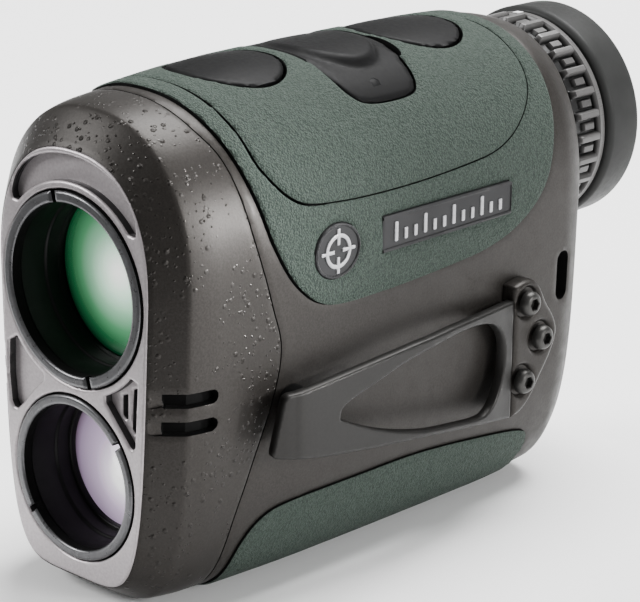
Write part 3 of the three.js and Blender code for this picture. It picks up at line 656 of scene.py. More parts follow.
def ribbed_with_painted_shade(name, valley, top):
    """Ring plastic with painted light: painted shade in the valleys round the optical axis and a painted
    highlight on the ribs.
    """
    s = Surface(name, Roughness=0.36, Specular_IOR_Level=0.35)
    centred = s.node("VectorMath", operation="MULTIPLY_ADD")
    centred.inputs[1].default_value = (1, 0, 1)
    centred.inputs[2].default_value = (0, 0, -EYE_Z * MM)
    s.link(s.place, centred.inputs[0])
    reach = s.node("VectorMath", operation="LENGTH")
    s.link(centred.outputs["Vector"], reach.inputs[0])
    height = s.levels(reach.outputs["Value"], (VALLEY_RADIUS + 0.1) * MM, (VALLEY_RADIUS + 1.3) * MM, 0, 1)
    # painted shade in the rib valleys, painted highlight on the rib tops
    s.colour(s.ramp(height, [(0.1, valley), (0.7, top)]))
    s.bump(s.noise(0.18, 2), 0.008)
    return s.material


def anodised(name, colour, rough=0.35, metallic=0.7):
    """Coated metal with fine mottling."""
    s = Surface(name, Metallic=metallic, Roughness=rough, Specular_IOR_Level=0.3)
    s.colour(s.ramp(s.noise(0.5, 3), [(0.3, scaled(0.88, colour)), (0.7, scaled(1.12, colour))]))
    s.roughness(s.levels(s.noise(1.5, 4), 0.3, 0.7, rough - 0.06, rough + 0.08))
    s.bump(s.noise(0.15, 2), 0.004)
    return s.material


def glass_with_painted_glow(name, middle_mm, reach_mm, stops):
    """A coated front lens with painted light: its colour and emission are a painted glow and painted
    highlight, brightest round a point near its clip side, with painted shade darker away from it.
    """
    s = Surface(name, Roughness=0.12, Coat_Weight=1.0, Coat_Roughness=0.04, Emission_Strength=0.9)
    from_middle = s.node("VectorMath", operation="DISTANCE")
    from_middle.inputs[1].default_value = [MM * c for c in middle_mm]
    s.link(s.place, from_middle.inputs[0])
    glow = s.ramp(s.levels(from_middle.outputs["Value"], 0, reach_mm * MM, 0, 1), stops)
    s.colour(glow)
    s.link(glow, s.shader.inputs["Emission Color"])
    return s.material


def clear_glass(name, colour):
    s = Surface(name, Roughness=0.04, IOR=1.5, Transmission_Weight=0.75, Coat_Weight=0.4)
    s.colour(s.ramp(s.noise(12, 1), [(0.2, scaled(0.9, colour)), (0.8, colour)]))
    return s.material


M = {
    "plate": anodised("plate_metal", (0.38, 0.35, 0.36), 0.38, 0.5),
    "paint": painted("body_paint", (0.018, 0.016, 0.0143), (0.027, 0.0244, 0.0223)),
    "wet_paint": painted("bezel_paint", (0.018, 0.016, 0.0143), (0.027, 0.0244, 0.0223), True),
    "rubber": rubber("green_rubber", (0.022, 0.032, 0.026), (0.045, 0.06, 0.05)),
    "plastic": moulded("dark_plastic", (0.0045, 0.0045, 0.0047)),
    # focus ring colours: painted shade in the valleys, painted highlight on the ribs
    "knurl": ribbed_with_painted_shade("ring_plastic", (0.008, 0.008, 0.008), (0.075, 0.073, 0.072)),
    "black_rubber": moulded("black_rubber", (0.024, 0.0245, 0.024), 0.42),
    "black": anodised("black_metal", (0.1, 0.1, 0.104), 0.3),
    # groove colour: dark joint colour on the seams, painted shade on the walls and floors of slots, notches
    # and sunk pockets
    "groove": moulded("joint_black_and_painted_shade", (0.004, 0.004, 0.004), 0.8),
    # face plate pocket walls and slot floors: darker colour as painted shade
    "pocket_wall_painted_shade": anodised("pocket_wall_painted_shade", (0.035, 0.033, 0.034), 0.45, 0.3),
    "barrel": anodised("barrel_black", (0.005, 0.005, 0.005), 0.4, 0.4),
    "clip": anodised("clip_metal", (0.015, 0.0143, 0.0135), 0.38, 0.6),
    "steel": anodised("bright_metal", (0.045, 0.044, 0.042), 0.42, 0.8),
    "brass": anodised("brass", (0.55, 0.4, 0.17), 0.3, 0.95),
    "badge": moulded("badge_dark", (0.03, 0.03, 0.031), 0.4),
    "badge_light": anodised("badge_light", (0.36, 0.36, 0.37), 0.4, 0.3),
    "white": moulded("white_mark", (0.75, 0.75, 0.75), 0.5),
    "cell": moulded("cell_wrap", (0.12, 0.13, 0.15), 0.3),
    "circuit": moulded("circuit", (0.015, 0.1, 0.045), 0.35),
    # lens colours: the coating's green or lilac tint, with a white painted highlight near the middle and
    # painted shade towards the rim
    "green_lens": glass_with_painted_glow("green_glass", (1.0, -36.0, 51.5), 15.0, [
        (0.08, (1.0, 1.0, 0.97)), (0.25, (0.6, 0.86, 0.68)), (0.45, (0.24, 0.5, 0.32)),
        (0.64, (0.07, 0.26, 0.12)), (0.82, (0.01, 0.1, 0.035)), (0.97, (0.0, 0.015, 0.006))]),
    "lilac_lens": glass_with_painted_glow("lilac_glass", (2.5, -36.0, 18.5), 15.0, [
        (0.22, (1.0, 1.0, 1.0)), (0.3, (0.74, 0.66, 0.78)), (0.5, (0.5, 0.4, 0.55)),
        (0.8, (0.32, 0.24, 0.36)), (0.95, (0.06, 0.035, 0.05))]),
    "clear": clear_glass("clear_glass", (0.85, 0.9, 0.92)),
}

# ---- body pieces --------------------------------------------------------------------------------
ARMOUR_HEIGHT = 0.5  # over the body surface, as are the depths below
ARMOUR_BACK = -1.0
ARMOUR_SEAT = -1.3
ARMOUR_EDGE = 0.22
BADGE_SEAT = -0.6
NOTCH_DEPTH = -0.7
DOOR_SEAT = -1.6
SLOT_DEPTH = -1.7
LANYARD_DEPTH = -2.2
SHELL_BACK = -2.6


def button_outline(node):
    centre = centre_mm(node)
    return plan_ellipse(0, centre.y, *BUTTON_RADII[node])


def build_skin():
    rows = np.concatenate([
        np.linspace(-45.95, -41, 14)[:-1], np.arange(-41, 46.2, CELL), np.linspace(46.5, BODY_END, 9)])
    ends = BODY_END + np.concatenate([
        np.linspace(0, CAP_LENGTH, 6)[1:], CAP_LENGTH + np.linspace(0, NECK_LENGTH, 4)[1:],
        CAP_LENGTH + NECK_LENGTH + np.linspace(0, FACE_LENGTH, 4)[1:]])
    columns = np.arange(COLUMNS) * GIRTH / COLUMNS
    outlines = {
        "bezel": in_side_view(BEZEL),
        "armour": in_side_view(ARMOUR),
        "top": in_side_view(TOP),
        "lower": in_side_view(LOWER),
        "door": in_plan_view(DOOR),
        "menu": button_outline("menu_button"),
        "measure": button_outline("measure_button"),
        "well": in_plan_view(BATTERY_WELL),
        "tripod": plan_ellipse(*TRIPOD, -20, 20),
        "plate": in_side_view(PLATE),
        "badge": in_side_view(badge_oval(), 1),
        "lanyard": in_side_view(LANYARD),
        "slot_a": in_side_view(bevel_slot(UPPER_SLOT_Z, SLOT_FRONT_Y)),
        "slot_b": in_side_view(bevel_slot(LOWER_SLOT_Z, SLOT_FRONT_Y)),
        "shelf_a": in_side_view(bevel_slot(UPPER_SLOT_Z, SHELF_FRONT_Y)),
        "shelf_b": in_side_view(bevel_slot(LOWER_SLOT_Z, SHELF_FRONT_Y)),
        "rest": in_side_view(circle(*CLIP_REST, 40), 1),
        "notch_back": plan_ellipse(*DOOR_NOTCH),
        "door_mark": in_plan_view(DOOR_MARK),
    }
    return Grid(body_surface, columns, np.concatenate([rows, ends]), outlines, wraps=True, flip=True)


skin = build_skin()
region = skin.inside
slots = region["slot_a"] | region["slot_b"]
armoured = region["armour"] | region["lower"]
buttons = region["menu"] | region["measure"]


def place(obj, body, slot, *nodes):
    """Tie a piece to its moving body, in place of the CAD nodes it replaces; the material slot it is given is
    not used.
    """
    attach(obj, body)
    if nodes:
        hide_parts(*nodes)
    return obj


BEZEL_BACK = np.interp(skin.points[:, 1], (-45.5, -42.0), (-1.0, -2.6))
SHELF = np.interp(skin.points[:, 1], (SHELF_FRONT_Y, SLOT_FRONT_Y), (-0.15, -0.85))
# the groove material darkens the seams as joint colour and the bezel and lanyard slots as painted shade
HOUSING_SHAPES = dict(groove=M["groove"], radius=0.12)
place(terrace("front_bezel_shell", skin, [
    (region["bezel"], 0), (region["bezel"] & (region["shelf_a"] | region["shelf_b"]), SHELF),
    (region["bezel"] & slots, SLOT_DEPTH)], BEZEL_BACK, M["wet_paint"], **HOUSING_SHAPES),
    HOUSING, "body_paint", "front_bezel")
CLIP_REST_X = 24.9
rest_height = np.where(skin.points[:, 0] > 0, CLIP_REST_X - skin.points[:, 0], 0)
place(terrace("main_housing_shell", skin, [
    (~region["bezel"], 0), (region["rest"], rest_height), (armoured & ~region["bezel"], ARMOUR_SEAT),
    (region["door"], DOOR_SEAT), (region["lanyard"], LANYARD_DEPTH), (buttons, None),
    (region["well"] & region["door"], None), (region["tripod"], None)],
    SHELL_BACK, M["paint"], **HOUSING_SHAPES), HOUSING, "body_paint", "main_housing")
FRONT_GAP = np.interp(skin.points[:, 1], (-19.0, -13.0), (0.3, 0.06))
place(terrace("side_armour_skin", skin, [
    (region["armour"] & ~region["top"], ARMOUR_HEIGHT), (region["plate"] | region["badge"], BADGE_SEAT)],
    ARMOUR_BACK, M["rubber"], FRONT_GAP, ARMOUR_EDGE, groove=M["groove"], dark_below=-0.5),
    HOUSING, "green_rubber", "side_armour")
place(terrace("top_armour_skin", skin, [
    (region["top"], ARMOUR_HEIGHT), (region["notch_back"], NOTCH_DEPTH), (region["door"] | buttons, None)],
    ARMOUR_BACK, M["rubber"], 0.16, ARMOUR_EDGE, groove=M["groove"], dark_below=-0.5),
    HOUSING, "green_rubber", "top_armour")
place(terrace("lower_armour_skin", skin, [
    (region["lower"], ARMOUR_HEIGHT), (region["tripod"], None)],
    ARMOUR_BACK, M["rubber"], 0.08, ARMOUR_EDGE, ground=0.0, groove=M["groove"]),
    HOUSING, "green_rubber", "lower_armour")


def crowned(node, rim_height, crown):
    """Height over the body surface of a button that is higher in its middle."""
    centre = centre_mm(node)
    rx, ry = BUTTON_RADII[node]
    p = skin.points
    k = np.hypot(p[:, 0] / rx, (p[:, 1] - centre.y) / ry)
    return rim_height + crown * np.clip(1 - k**2, 0, 1)


BUTTON_GAP = 0.14 + 0.4 * (skin.points[:, 0] / 10) ** 2  # wider at the sides, where the body slopes
for node, outline in (("menu_button", "menu"), ("measure_button", "measure")):
    cap = terrace(node + "_cap", skin, [(region[outline], crowned(node, 0.3, 0.45))], -1.2,
                  M["plastic"], BUTTON_GAP, 0.3)
    place(cap, node, "dark_plastic", node)


THUMB_RISE_AT = (0.6, 6.6)
THUMB_RISE_RADII = (10.0, 8.0)
THUMB_RISE_EDGE = 0.13  # the part of the radius over which it falls to the lid
LID_HEIGHT = 0.35


def door_height():
    """The battery door follows the body, with an oval thumb rise that is higher towards the clip side."""
    p = skin.points
    k = np.linalg.norm((p[:, :2] - THUMB_RISE_AT) / THUMB_RISE_RADII, axis=1)
    rise = np.clip((1 - k) / THUMB_RISE_EDGE, 0, 1)
    top = np.clip(0.5 + 0.07 * p[:, 0], 0.15, 1.2)
    return LID_HEIGHT + top * rise**0.8


place(terrace("battery_door_lid", skin, [
    (region["door"], door_height()), (region["door_mark"], door_height() + 0.2)],
    -1.3, M["plastic"], 0.22, 0.25), "battery_door", "dark_plastic", "battery_door")

# ---- face plate ---------------------------------------------------------------------------------
FRONT_SECTION = body_point(ARC_ANGLE[::20], np.full(len(ARC_ANGLE[::20]), FRONT_Y + 0.05))[:-1, [0, 2]]


def in_front_view(polygon):
    return lambda p: signed_distance(p[:, [0, 2]], polygon)


def front_circle(z, radius):
    return lambda p: np.hypot(p[:, 0], p[:, 2] - z) - radius


def front_grid(outlines, x_range, z_range, y, cell=0.45):
    us = np.arange(x_range[0], x_range[1] + cell, cell)
    vs = np.arange(z_range[0], z_range[1] + cell, cell)
    return Grid(lambda u, v: np.stack([u, y + 0 * u, v], 1), us, vs, outlines)


CRESCENT = np.vstack([
    spline([(13.9, 61.7), (13.9, 63.4), (12.9, 65.9), (10.9, 68.2), (8.3, 69.8), (4.6, 71.0), (0, 71.5),
            (-4.6, 71.0), (-8.3, 69.8), (-10.9, 68.2), (-12.9, 65.9), (-13.9, 63.4), (-13.6, 62.0)], 5),
    arc(16.9, 0, OBJECTIVE["z"], 137, 43)])
LEFT_TRIANGLE = np.vstack([
    [(-15.0, 38.6), (-15.1, 33.1), (-14.6, 28.6), (-14.0, 27.8), (-13.2, 27.7), (-11.8, 29.0), (-9.2, 32.0),
     (-7.2, 33.9)], arc(16.9, 0, OBJECTIVE["z"], 246, 219, 8)])
RIGHT_TRIANGLE = np.vstack([
    [(7.2, 34.0), (12.6, 28.3), (13.2, 28.0), (13.7, 28.4), (14.3, 38.8)],
    arc(16.9, 0, OBJECTIVE["z"], 319, 295, 8)])
PLATE_SLOTS = {
    "slot_a": [(9.4, 35.4), (10.5, 35.9), (10.5, 31.6), (9.4, 32.3)],
    "slot_b": [(11.8, 36.9), (12.8, 37.4), (12.5, 29.7), (11.5, 30.5)]}


PLATE_EDGE = 0.28


def build_face_plate():
    outlines = {
        "outline": in_front_view(FRONT_SECTION),
        "upper": front_circle(OBJECTIVE["z"], OBJECTIVE["ring"] + 0.2),
        "lower": front_circle(RECEIVER["z"], RECEIVER["ring"] + 0.2),
        "crescent": in_front_view(CRESCENT),
        "left": in_front_view(LEFT_TRIANGLE),
        "right": in_front_view(RIGHT_TRIANGLE)}
    outlines.update({name: in_front_view(np.array(points)) for name, points in PLATE_SLOTS.items()})
    for name, distance in (("outline", PLATE_EDGE), ("upper", -PLATE_EDGE), ("lower", -PLATE_EDGE),
                           ("crescent", -PLATE_EDGE), ("left", -PLATE_EDGE), ("right", -PLATE_EDGE)):
        outlines[name + "_edge"] = inset(outlines[name], distance)
    grid = front_grid(outlines, (-18, 18), (2.5, 73.5), FRONT_Y, 0.28)
    r = grid.inside
    # pocket walls and the slot floors take the darker material as painted shade
    return terrace("face_plate_front", grid, [
        (r["outline"], 0), (r["crescent"] | r["left"] | r["right"], -1.5),
        (r["slot_a"] | r["slot_b"], -2.6), (r["upper"] | r["lower"], None)],
        -3.0, M["plate"], 0.04, PLATE_EDGE, groove=M["pocket_wall_painted_shade"], dark_below=-2.0)


place(build_face_plate(), HOUSING, "plate_metal", "face_plate")


# ---- lens rings, barrels and lenses -------------------------------------------------------------
def spanner_ring(name, spec, front):
    """A retaining ring with two spanner notches: a polar grid, so that the notches have real walls."""
    width = spec["ring"] - spec["bore"]
    us = np.arange(240) * 2 * math.pi * spec["ring"] / 240
    vs = np.linspace(0, width, 7)

    def polar(u, v):
        a = u / spec["ring"]
        r = spec["bore"] + v
        return np.stack([r * np.cos(a), front + 0 * u, spec["z"] + r * np.sin(a)], 1)

    def notch(degrees):
        a = math.radians(degrees)
        return lambda p: np.where(
            p[:, 0] * math.cos(a) + (p[:, 2] - spec["z"]) * math.sin(a) > 0,
            np.abs(-p[:, 0] * math.sin(a) + (p[:, 2] - spec["z"]) * math.cos(a)) - 0.45, FAR)

    grid = Grid(polar, us, vs, {str(a): notch(a) for a in spec["notches"]}, wraps=True, flip=True)
    cut = np.any(list(grid.inside.values()), axis=0)
    return terrace(name, grid, [(np.ones(len(grid.faces), bool), 0), (cut, -1.3)],
                   front - FRONT_Y - 1.5, M["black"], 0.0, 0.28, groove=M["groove"])


def barrel(name, spec, lens_front):
    """The lens barrel: a stepped bore with a retaining lip in front of the lens."""
    front = FRONT_Y + 1.75
    bore, outer, end = spec["bore"], spec["ring"], spec["end"]
    lip = lens_front - 1.3
    seat = lens_front + 4.2
    profile = [(bore + 0.15, front), (outer, front), (outer, end), (bore - 2.7, end), (bore - 2.7, seat),
               (bore - 0.1, seat), (bore - 0.1, lip + 1.0), (spec["lip"], lip + 1.0),
               (spec["lip"] + 0.2, lip), (bore - 0.2, lip), (bore - 0.2, lip - 2.2), (bore + 0.15, lip - 2.6)]
    return lathe(name, rounded(profile, 0.2, 3), spec["z"], M["barrel"])


LENS_BULGE = 1.6
for prefix, spec, glass, slot in (("objective", OBJECTIVE, "green_lens", "green_glass"),
                                  ("receiver", RECEIVER, "lilac_lens", "lilac_glass")):
    low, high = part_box(prefix + "_ring")
    place(spanner_ring(prefix + "_spanner_ring", spec, low.y / MM),
          HOUSING, "black_metal", prefix + "_ring")
    lens_low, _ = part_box(prefix + "_lens")
    lens_front = lens_low.y / MM + LENS_BULGE
    place(barrel(prefix + "_tube", spec, lens_front), HOUSING, "black_metal", prefix + "_barrel")
    element = lens(prefix + "_front_lens", spec["bore"] - 0.35, lens_front, lens_front + 2.0, LENS_BULGE,
                   spec["z"], M[glass])
    place(element, HOUSING, slot, prefix + "_lens")

# ---- eyepiece -----------------------------------------------------------------------------------
RIBS = 28
RIB_HEIGHT = 1.35
PAD_HEIGHT = 0.75
BAND_RADIUS = 17.95
FOCUS_BAND_Y = 57.4


def ramp_between(value, outer, inner):
    return max(0.0, min(1.0, (value - outer) / (inner - outer)))


def rib_ripple(a, r, y):
    """Long round-topped ribs with a lower square pad between each pair, in front of a smooth band."""
    if r < 15.5 or y > FOCUS_BAND_Y:
        return r
    turn = (a * RIBS / (2 * math.pi)) % 1.0
    rib = ramp_between(min(turn, 1 - turn), 0.21, 0.1) * ramp_between(y, 52.3, 52.9)
    pad = ramp_between(abs(turn - 0.5), 0.2, 0.15) * ramp_between(abs(y - 55.3), 1.5, 1.25)
    return r + max(RIB_HEIGHT * math.sin(rib * math.pi / 2), PAD_HEIGHT * pad)


def build_eyepiece():
    steps = np.linspace(52.1, FOCUS_BAND_Y, 24)
    step_y, rear = 58.5, 59.05
    profile = [(NECK["bore"], step_y), (NECK["bore"], steps[0]), (VALLEY_RADIUS - 0.6, steps[0])]
    profile += [(VALLEY_RADIUS, y) for y in steps[1:]]
    profile += [(BAND_RADIUS - 0.35, FOCUS_BAND_Y + 0.1), (BAND_RADIUS, FOCUS_BAND_Y + 0.4),
                (BAND_RADIUS, rear - 0.25), (BAND_RADIUS - 0.25, rear), (15.0, rear), (15.0, step_y)]
    ring = lathe("focus_ring", profile, EYE_Z, M["knurl"], 680, rib_ripple, 45)
    place(ring, "diopter", "dark_plastic", "diopter_ring")
    front, rear = [corner.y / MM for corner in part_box("eyecup")]
    cup = rounded([(14.75, front), (18.1, front), (18.75, front + 0.8), (18.6, rear - 0.9), (17.8, rear),
                   (15.6, rear), (12.8, rear - 0.5), (12.8, rear - 1.0), (14.75, rear - 1.3)], 0.45)
    place(lathe("eyecup_rubber", cup, EYE_Z, M["black_rubber"]), "eyecup", "black_rubber", "eyecup")
    front, rear = [corner.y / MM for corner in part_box("eyecup_sleeve")]
    sleeve = rounded([(12.5, front), (14.4, front), (14.4, rear), (12.5, rear)], 0.25)
    place(lathe("eyecup_thread", sleeve, EYE_Z, M["plastic"]), "eyecup_sleeve", "dark_plastic",
          "eyecup_sleeve")


def dial_mark(name, strips, radius, body):
    """White strips printed round the optical axis: each is y from, y to, degrees from, degrees to."""
    vertices, faces = [], []
    for y0, y1, start, end in strips:
        base = len(vertices)
        for a in np.radians(np.linspace(start, end, 7)):
            for r, y in ((radius, y0), (radius, y1), (radius - 0.15, y1), (radius - 0.15, y0)):
                vertices.append((r * math.cos(a), y, EYE_Z + r * math.sin(a)))
        for k in range(6):
            for j in range(4):
                faces.append([base + 4 * k + j, base + 4 * k + (j + 1) % 4,
                              base + 4 * k + 4 + (j + 1) % 4, base + 4 * k + 4 + j])
        faces.append([base + j for j in (3, 2, 1, 0)])
        faces.append([base + 24 + j for j in range(4)])
    mark = finish_mesh(name, vertices, faces, M["white"])
    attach(mark, body)


build_eyepiece()
ZERO = [(50.75, 51.35, 95.0, 96.2), (50.75, 51.35, 98.0, 99.2), (50.75, 50.95, 96.2, 98.0),
        (51.15, 51.35, 96.2, 98.0)]
PLUS = [(50.7, 51.4, 83.5, 84.3), (50.95, 51.15, 84.3, 85.3), (50.95, 51.15, 82.5, 83.5)]
dial_mark("diopter_pointer", [(57.55, 58.75, 93.0, 97.5)], BAND_RADIUS + 0.07, "diopter")
dial_mark("diopter_scale", ZERO + PLUS, NECK["r"] + 0.1, HOUSING)

# ---- belt clip ----------------------------------------------------------------------------------
CLIP_BEND_Y = 27.9
ARM = np.array([
    (CLIP_BEND_Y, 37.6), (10.7, 37.6), (2.5, 37.3), (-12.4, 36.4), (-26.2, 35.5), (-26.8, 35.2),
    (-27.1, 34.6), (-28.7, 26.4), (-28.6, 25.8), (-28.1, 25.5), (-18.1, 23.6), (-6.7, 22.1), (5.2, 20.8),
    (16.0, 19.1), (CLIP_BEND_Y, 17.3)])
WINDOW = spline([(-15.7, 29.1), (-14.6, 31.2), (-6.8, 33.3), (0.2, 35.0), (8.2, 36.0), (14.0, 36.3),
                 (19.3, 35.9), (22.8, 34.6), (25.0, 31.8), (25.5, 28.6), (24.9, 25.2), (23.2, 21.9),
                 (21.2, 20.3), (18.6, 19.9), (11.8, 20.8), (3.8, 22.1), (-3.5, 24.0), (-9.5, 26.2),
                 (-15.7, 29.1)], 4)[:-1]
CLIP_PATH = spline([(24.6, CLIP_BEND_Y), (24.8, 26), (25.5, 21), (26.3, 14), (27.0, 7), (27.2, 1),
                    (27.2, -21), (26.7, -25.4), (25.5, -28.9)])


def path_surface(path):
    """A sheet that follows an (x, y) path and is upright in z."""
    run = np.concatenate([[0], np.cumsum(np.linalg.norm(np.diff(path, axis=0), axis=1))])

    def sheet(u, v):
        return np.stack([np.interp(u, run, path[:, 0]), np.interp(u, run, path[:, 1]), v], 1)

    return run[-1], sheet


CLIP_EDGE = 0.3
CLIP_CELL = 0.3
CLIP_HALF_THICKNESS = 0.8


def build_clip():
    length, surface = path_surface(CLIP_PATH)
    us = np.linspace(0, length, round(length / CLIP_CELL))
    vs = np.arange(15.5, 40.5, CLIP_CELL)
    outlines = {"arm": in_side_view(ARM), "window": in_side_view(WINDOW)}
    outlines["arm_edge"] = inset(outlines["arm"], CLIP_EDGE)
    outlines["window_edge"] = inset(outlines["window"], -CLIP_EDGE)
    grid = Grid(surface, us, vs, outlines, flip=True)
    r = grid.inside
    return terrace("clip_plate", grid, [(r["arm"], CLIP_HALF_THICKNESS), (r["window"], None)],
                   -CLIP_HALF_THICKNESS, M["clip"], 0.0, CLIP_EDGE)


place(build_clip(), "clip", "clip_metal", "clip_arm")


def build_clip_base():
    low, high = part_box("clip_base")
    outline = spline([(28.2, 39.9), (31.5, 40.4), (34.2, 39.4), (36.4, 35.8), (38.6, 32.6), (39.3, 29.6),
                      (37.9, 26.2), (35.2, 22.4), (33, 19.4), (30.6, 17.6), (28.2, 17.0)])
    outlines = {"base": in_side_view(outline)}
    for i, screw in enumerate(SCREWS):
        outlines["seat%d" % i] = in_side_view(circle(2.55, screw.y, screw.z))
    us, vs = np.arange(27.8, 41, CLIP_CELL), np.arange(15.8, 41.5, CLIP_CELL)
    grid = Grid(lambda u, v: np.stack([high.x / MM + 0 * u, u, v], 1), us, vs, outlines)
    r = grid.inside
    seats = r["seat0"] | r["seat1"] | r["seat2"]
    depth = (low.x - high.x) / MM
    return terrace("clip_foot", grid, [(r["base"], 0), (seats & r["base"], -0.8)], depth - 0.6, M["paint"],
                   0, 1.0)


place(build_clip_base(), HOUSING, "clip_metal", "clip_base")


def screw_head(name, node):
    """A button head with a hexagon socket, axis along +X."""
    centre = centre_mm(node)
    low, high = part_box(node)
    tip = high.x / MM
    end = low.x / MM
    sides = 48
    head, socket, shank = 2.1, 0.95, 1.1
    rings = [(0.0, tip - 1.0, True), (socket, tip - 1.0, True), (socket, tip - 0.1, True),
             (socket + 0.12, tip, True)]
    for a in np.linspace(0.1, 1, 8) * math.pi / 2:
        rings.append((head - 0.95 * (1 - math.sin(a)), tip - 1.25 * (1 - math.cos(a)), False))
    rings += [(head, tip - 1.6, False), (shank, tip - 1.62, False), (shank, end, False), (0.0, end, False)]
    vertices = []
    for radius, x, hexagonal in rings:
        for i in range(sides):
            a = 2 * math.pi * i / sides
            k = 1.0
            if hexagonal:
                k = math.cos(math.pi / 6) / math.cos((a % (math.pi / 3)) - math.pi / 6) * 1.1
            vertices.append((x, centre.y + radius * k * math.cos(a), centre.z + radius * k * math.sin(a)))
    faces = []
    for j in range(len(rings) - 1):
        for i in range(sides):
            k = (i + 1) % sides
            faces.append([j * sides + i, j * sides + k, (j + 1) * sides + k, (j + 1) * sides + i])
    return finish_mesh(name, vertices, faces, M["steel"], 35)


for i in (1, 2, 3):
    node = "clip_screw_%d" % i
    place(screw_head("button_head_%d" % i, node), HOUSING, "bright_metal", node)


# ---- badges, with plain generic marks -----------------------------------------------------------
def side_grid(outlines, y_range, z_range, x, sign=1, cell=0.25):
    us, vs = np.arange(*y_range, cell), np.arange(*z_range, cell)
    return Grid(lambda u, v: np.stack([x + 0 * u, u, v], 1), us, vs, outlines, flip=sign < 0)


def strip(y0, y1, z0, z1):
    return np.array([(y0, z0), (y1, z0), (y1, z1), (y0, z1)])


def raised_marks(name, marks_name, node, grid, marks, edge, marks_edge):
    """A dark plate with a sunk field, and the light marks that stand up from the field."""
    r = grid.inside
    plate = terrace(name, grid, [(r["plate"], 0), (r["field"], -0.3)], -1.3, M["badge"], 0, edge)
    light = terrace(marks_name, grid, [(marks, 0)], -0.5, M["badge_light"], 0, marks_edge)
    place(plate, HOUSING, "dark_plastic", node)
    place(light, HOUSING, "bright_metal")


def build_name_plate(name, node, sign):
    low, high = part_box(node)
    face = (high.x if sign > 0 else low.x) / MM
    outlines = {"plate": in_side_view(grown(PLATE, -0.12)), "field": in_side_view(grown(PLATE, -0.6))}
    first_y, pitch, width, base = 0.6, 2.25, 0.7, 53.4
    ticks = ["tick%d" % k for k in range(12)]
    for k, tick in enumerate(ticks):
        y = first_y + pitch * k
        tall = 3.2 if k % 3 == 0 else 1.8
        outlines[tick] = in_side_view(strip(y, y + width, base, base + tall))
    grid = side_grid(outlines, (-2.2, 30), (51, 59.5), face, sign)
    raised = np.any([grid.inside[tick] for tick in ticks], axis=0)
    raised_marks(name, name + "_ticks", node, grid, raised, 0.12, 0.1)


build_name_plate("right_plate", "name_plate_right", 1)
build_name_plate("left_plate", "name_plate_left", -1)


def build_round_badge():
    low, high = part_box("round_badge")
    y, z = BADGE_AT
    outlines = {"plate": in_side_view(badge_oval(0.12)),
                "field": in_side_view(badge_oval(0.55)),
                "outer": in_side_view(circle(2.8, y, z, 60)),
                "inner": in_side_view(circle(2.2, y, z, 60)),
                "across": in_side_view(strip(y - 3.7, y + 3.7, z - 0.28, z + 0.28)),
                "upright": in_side_view(strip(y - 0.28, y + 0.28, z - 3.6, z + 3.6)),
                "centre": in_side_view(circle(1.0, y, z, 30))}
    grid = side_grid(outlines, (y - 5.5, y + 5.5), (z - 5, z + 5), high.x / MM, 1, 0.2)
    r = grid.inside
    mark = (r["outer"] & ~r["inner"]) | ((r["across"] | r["upright"]) & ~r["centre"])
    raised_marks("badge_disc", "badge_reticle", "round_badge", grid, mark, 0.15, 0.08)


build_round_badge()

# ---- hidden pieces keep their CAD shape and get a material --------------------------------------
INNER = {
    "black": ("barrel_bulkhead", "prism_saddle", "eyepiece_tube"),
    "black_rubber": ("objective_seal", "receiver_seal"),
    "clear": ("prism_block", "field_lens", "eye_lens"),
    "plastic": ("display_panel", "processor", "menu_switch", "measure_switch", "battery_cradle"),
    "circuit": ("main_board", "sensor_board", "menu_switch_board", "measure_switch_board"),
    "steel": ("receiver_sensor", "battery_contact", "battery_spring", "door_hinge_pin"),
    "brass": ("laser_module", "tripod_insert"),
    "cell": ("battery",),
}
for key, names in INNER.items():
    for name in names:
        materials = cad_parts[name].data.materials
        materials.clear()
        materials.append(M[key])

# ---- stage, light and camera --------------------------------------------------------------------


def plain_material(name, colour, rough):
    s = Surface(name, Roughness=rough)
    s.colour(s.ramp(s.noise(60, 2), [(0.3, scaled(0.99, colour)), (0.7, colour)]))
    return s.material


FLOOR_FRONT = -0.1  # the floor ends just in front of the view, so that the bevel reflects a dim room


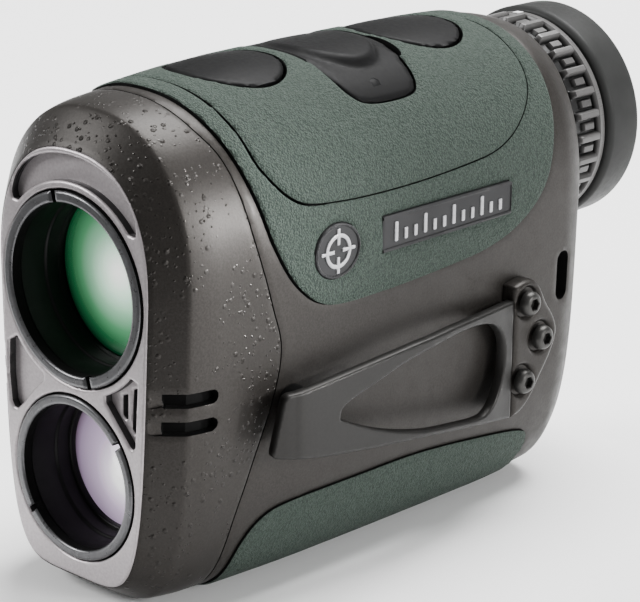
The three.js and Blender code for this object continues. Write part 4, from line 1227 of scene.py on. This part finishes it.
def build_stage():
    bm = bmesh.new()
    bend = 0.8
    floor_end = 1.2
    profile = [(FLOOR_FRONT, 0.0), (floor_end, 0.0)]
    for a in np.linspace(0.15, math.pi / 2, 10):
        profile.append((floor_end + bend * math.sin(a), bend - bend * math.cos(a)))
    profile.append((floor_end + bend, 3.0))
    lines = [[bm.verts.new((x, y, z)) for y, z in profile] for x in (-3.0, 3.0)]
    for i in range(len(profile) - 1):
        bm.faces.new([lines[0][i], lines[1][i], lines[1][i + 1], lines[0][i + 1]])
    mesh = bpy.data.meshes.new("studio_floor")
    bm.to_mesh(mesh)
    bm.free()
    mesh.polygons.foreach_set("use_smooth", [True] * len(mesh.polygons))
    mesh.materials.append(plain_material("studio_white", (0.9, 0.9, 0.9), 0.9))
    floor = bpy.data.objects.new("studio_floor", mesh)
    bpy.context.scene.collection.objects.link(floor)


def area_light(name, place_m, aim_m, size, power):
    data = bpy.data.lights.new(name, "AREA")
    data.shape = "DISK"
    data.size = size
    data.energy = power
    light = bpy.data.objects.new(name, data)
    bpy.context.scene.collection.objects.link(light)
    light.location = place_m
    light.rotation_euler = (Vector(aim_m) - Vector(place_m)).to_track_quat("-Z", "Y").to_euler()
    return data


def build_light():
    world = bpy.data.worlds.new("studio")
    world.use_nodes = True
    background = world.node_tree.nodes["Background"]
    background.inputs["Color"].default_value = (1, 1, 1, 1)
    background.inputs["Strength"].default_value = 0.3
    bpy.context.scene.world = world
    target = (0.0, 0.0, 0.04)
    area_light("key", (-0.75, -0.7, 0.6), target, 0.5, 16)
    area_light("side", (1.05, 0.2, 0.4), target, 0.35, 11)
    area_light("top", (-0.1, 0.55, 1.3), target, 1.0, 62)
    glow = area_light("bezel_side", (0.22, 0.14, 0.1), (0.022, -0.052, 0.056), 0.03, 0.026)
    glow.spread = math.radians(18)


CAMERA_AT = (0.3448, -0.3523, 0.2035)
CAMERA_RIGHT = Vector((0.71927, 0.69457, 0.01506))
CAMERA_UP = Vector((-0.23128, 0.21896, 0.94792))
FOCAL_MM = 179.78


def build_camera():
    data = bpy.data.cameras.new("camera")
    data.sensor_width = 36
    data.lens = FOCAL_MM
    data.clip_start = 0.01
    camera = bpy.data.objects.new("camera", data)
    bpy.context.scene.collection.objects.link(camera)
    back = CAMERA_RIGHT.cross(CAMERA_UP)
    turn = Matrix((CAMERA_RIGHT, CAMERA_UP, back)).transposed().to_4x4()
    camera.matrix_world = Matrix.Translation(CAMERA_AT) @ turn
    bpy.context.scene.camera = camera


build_stage()
build_light()
build_camera()
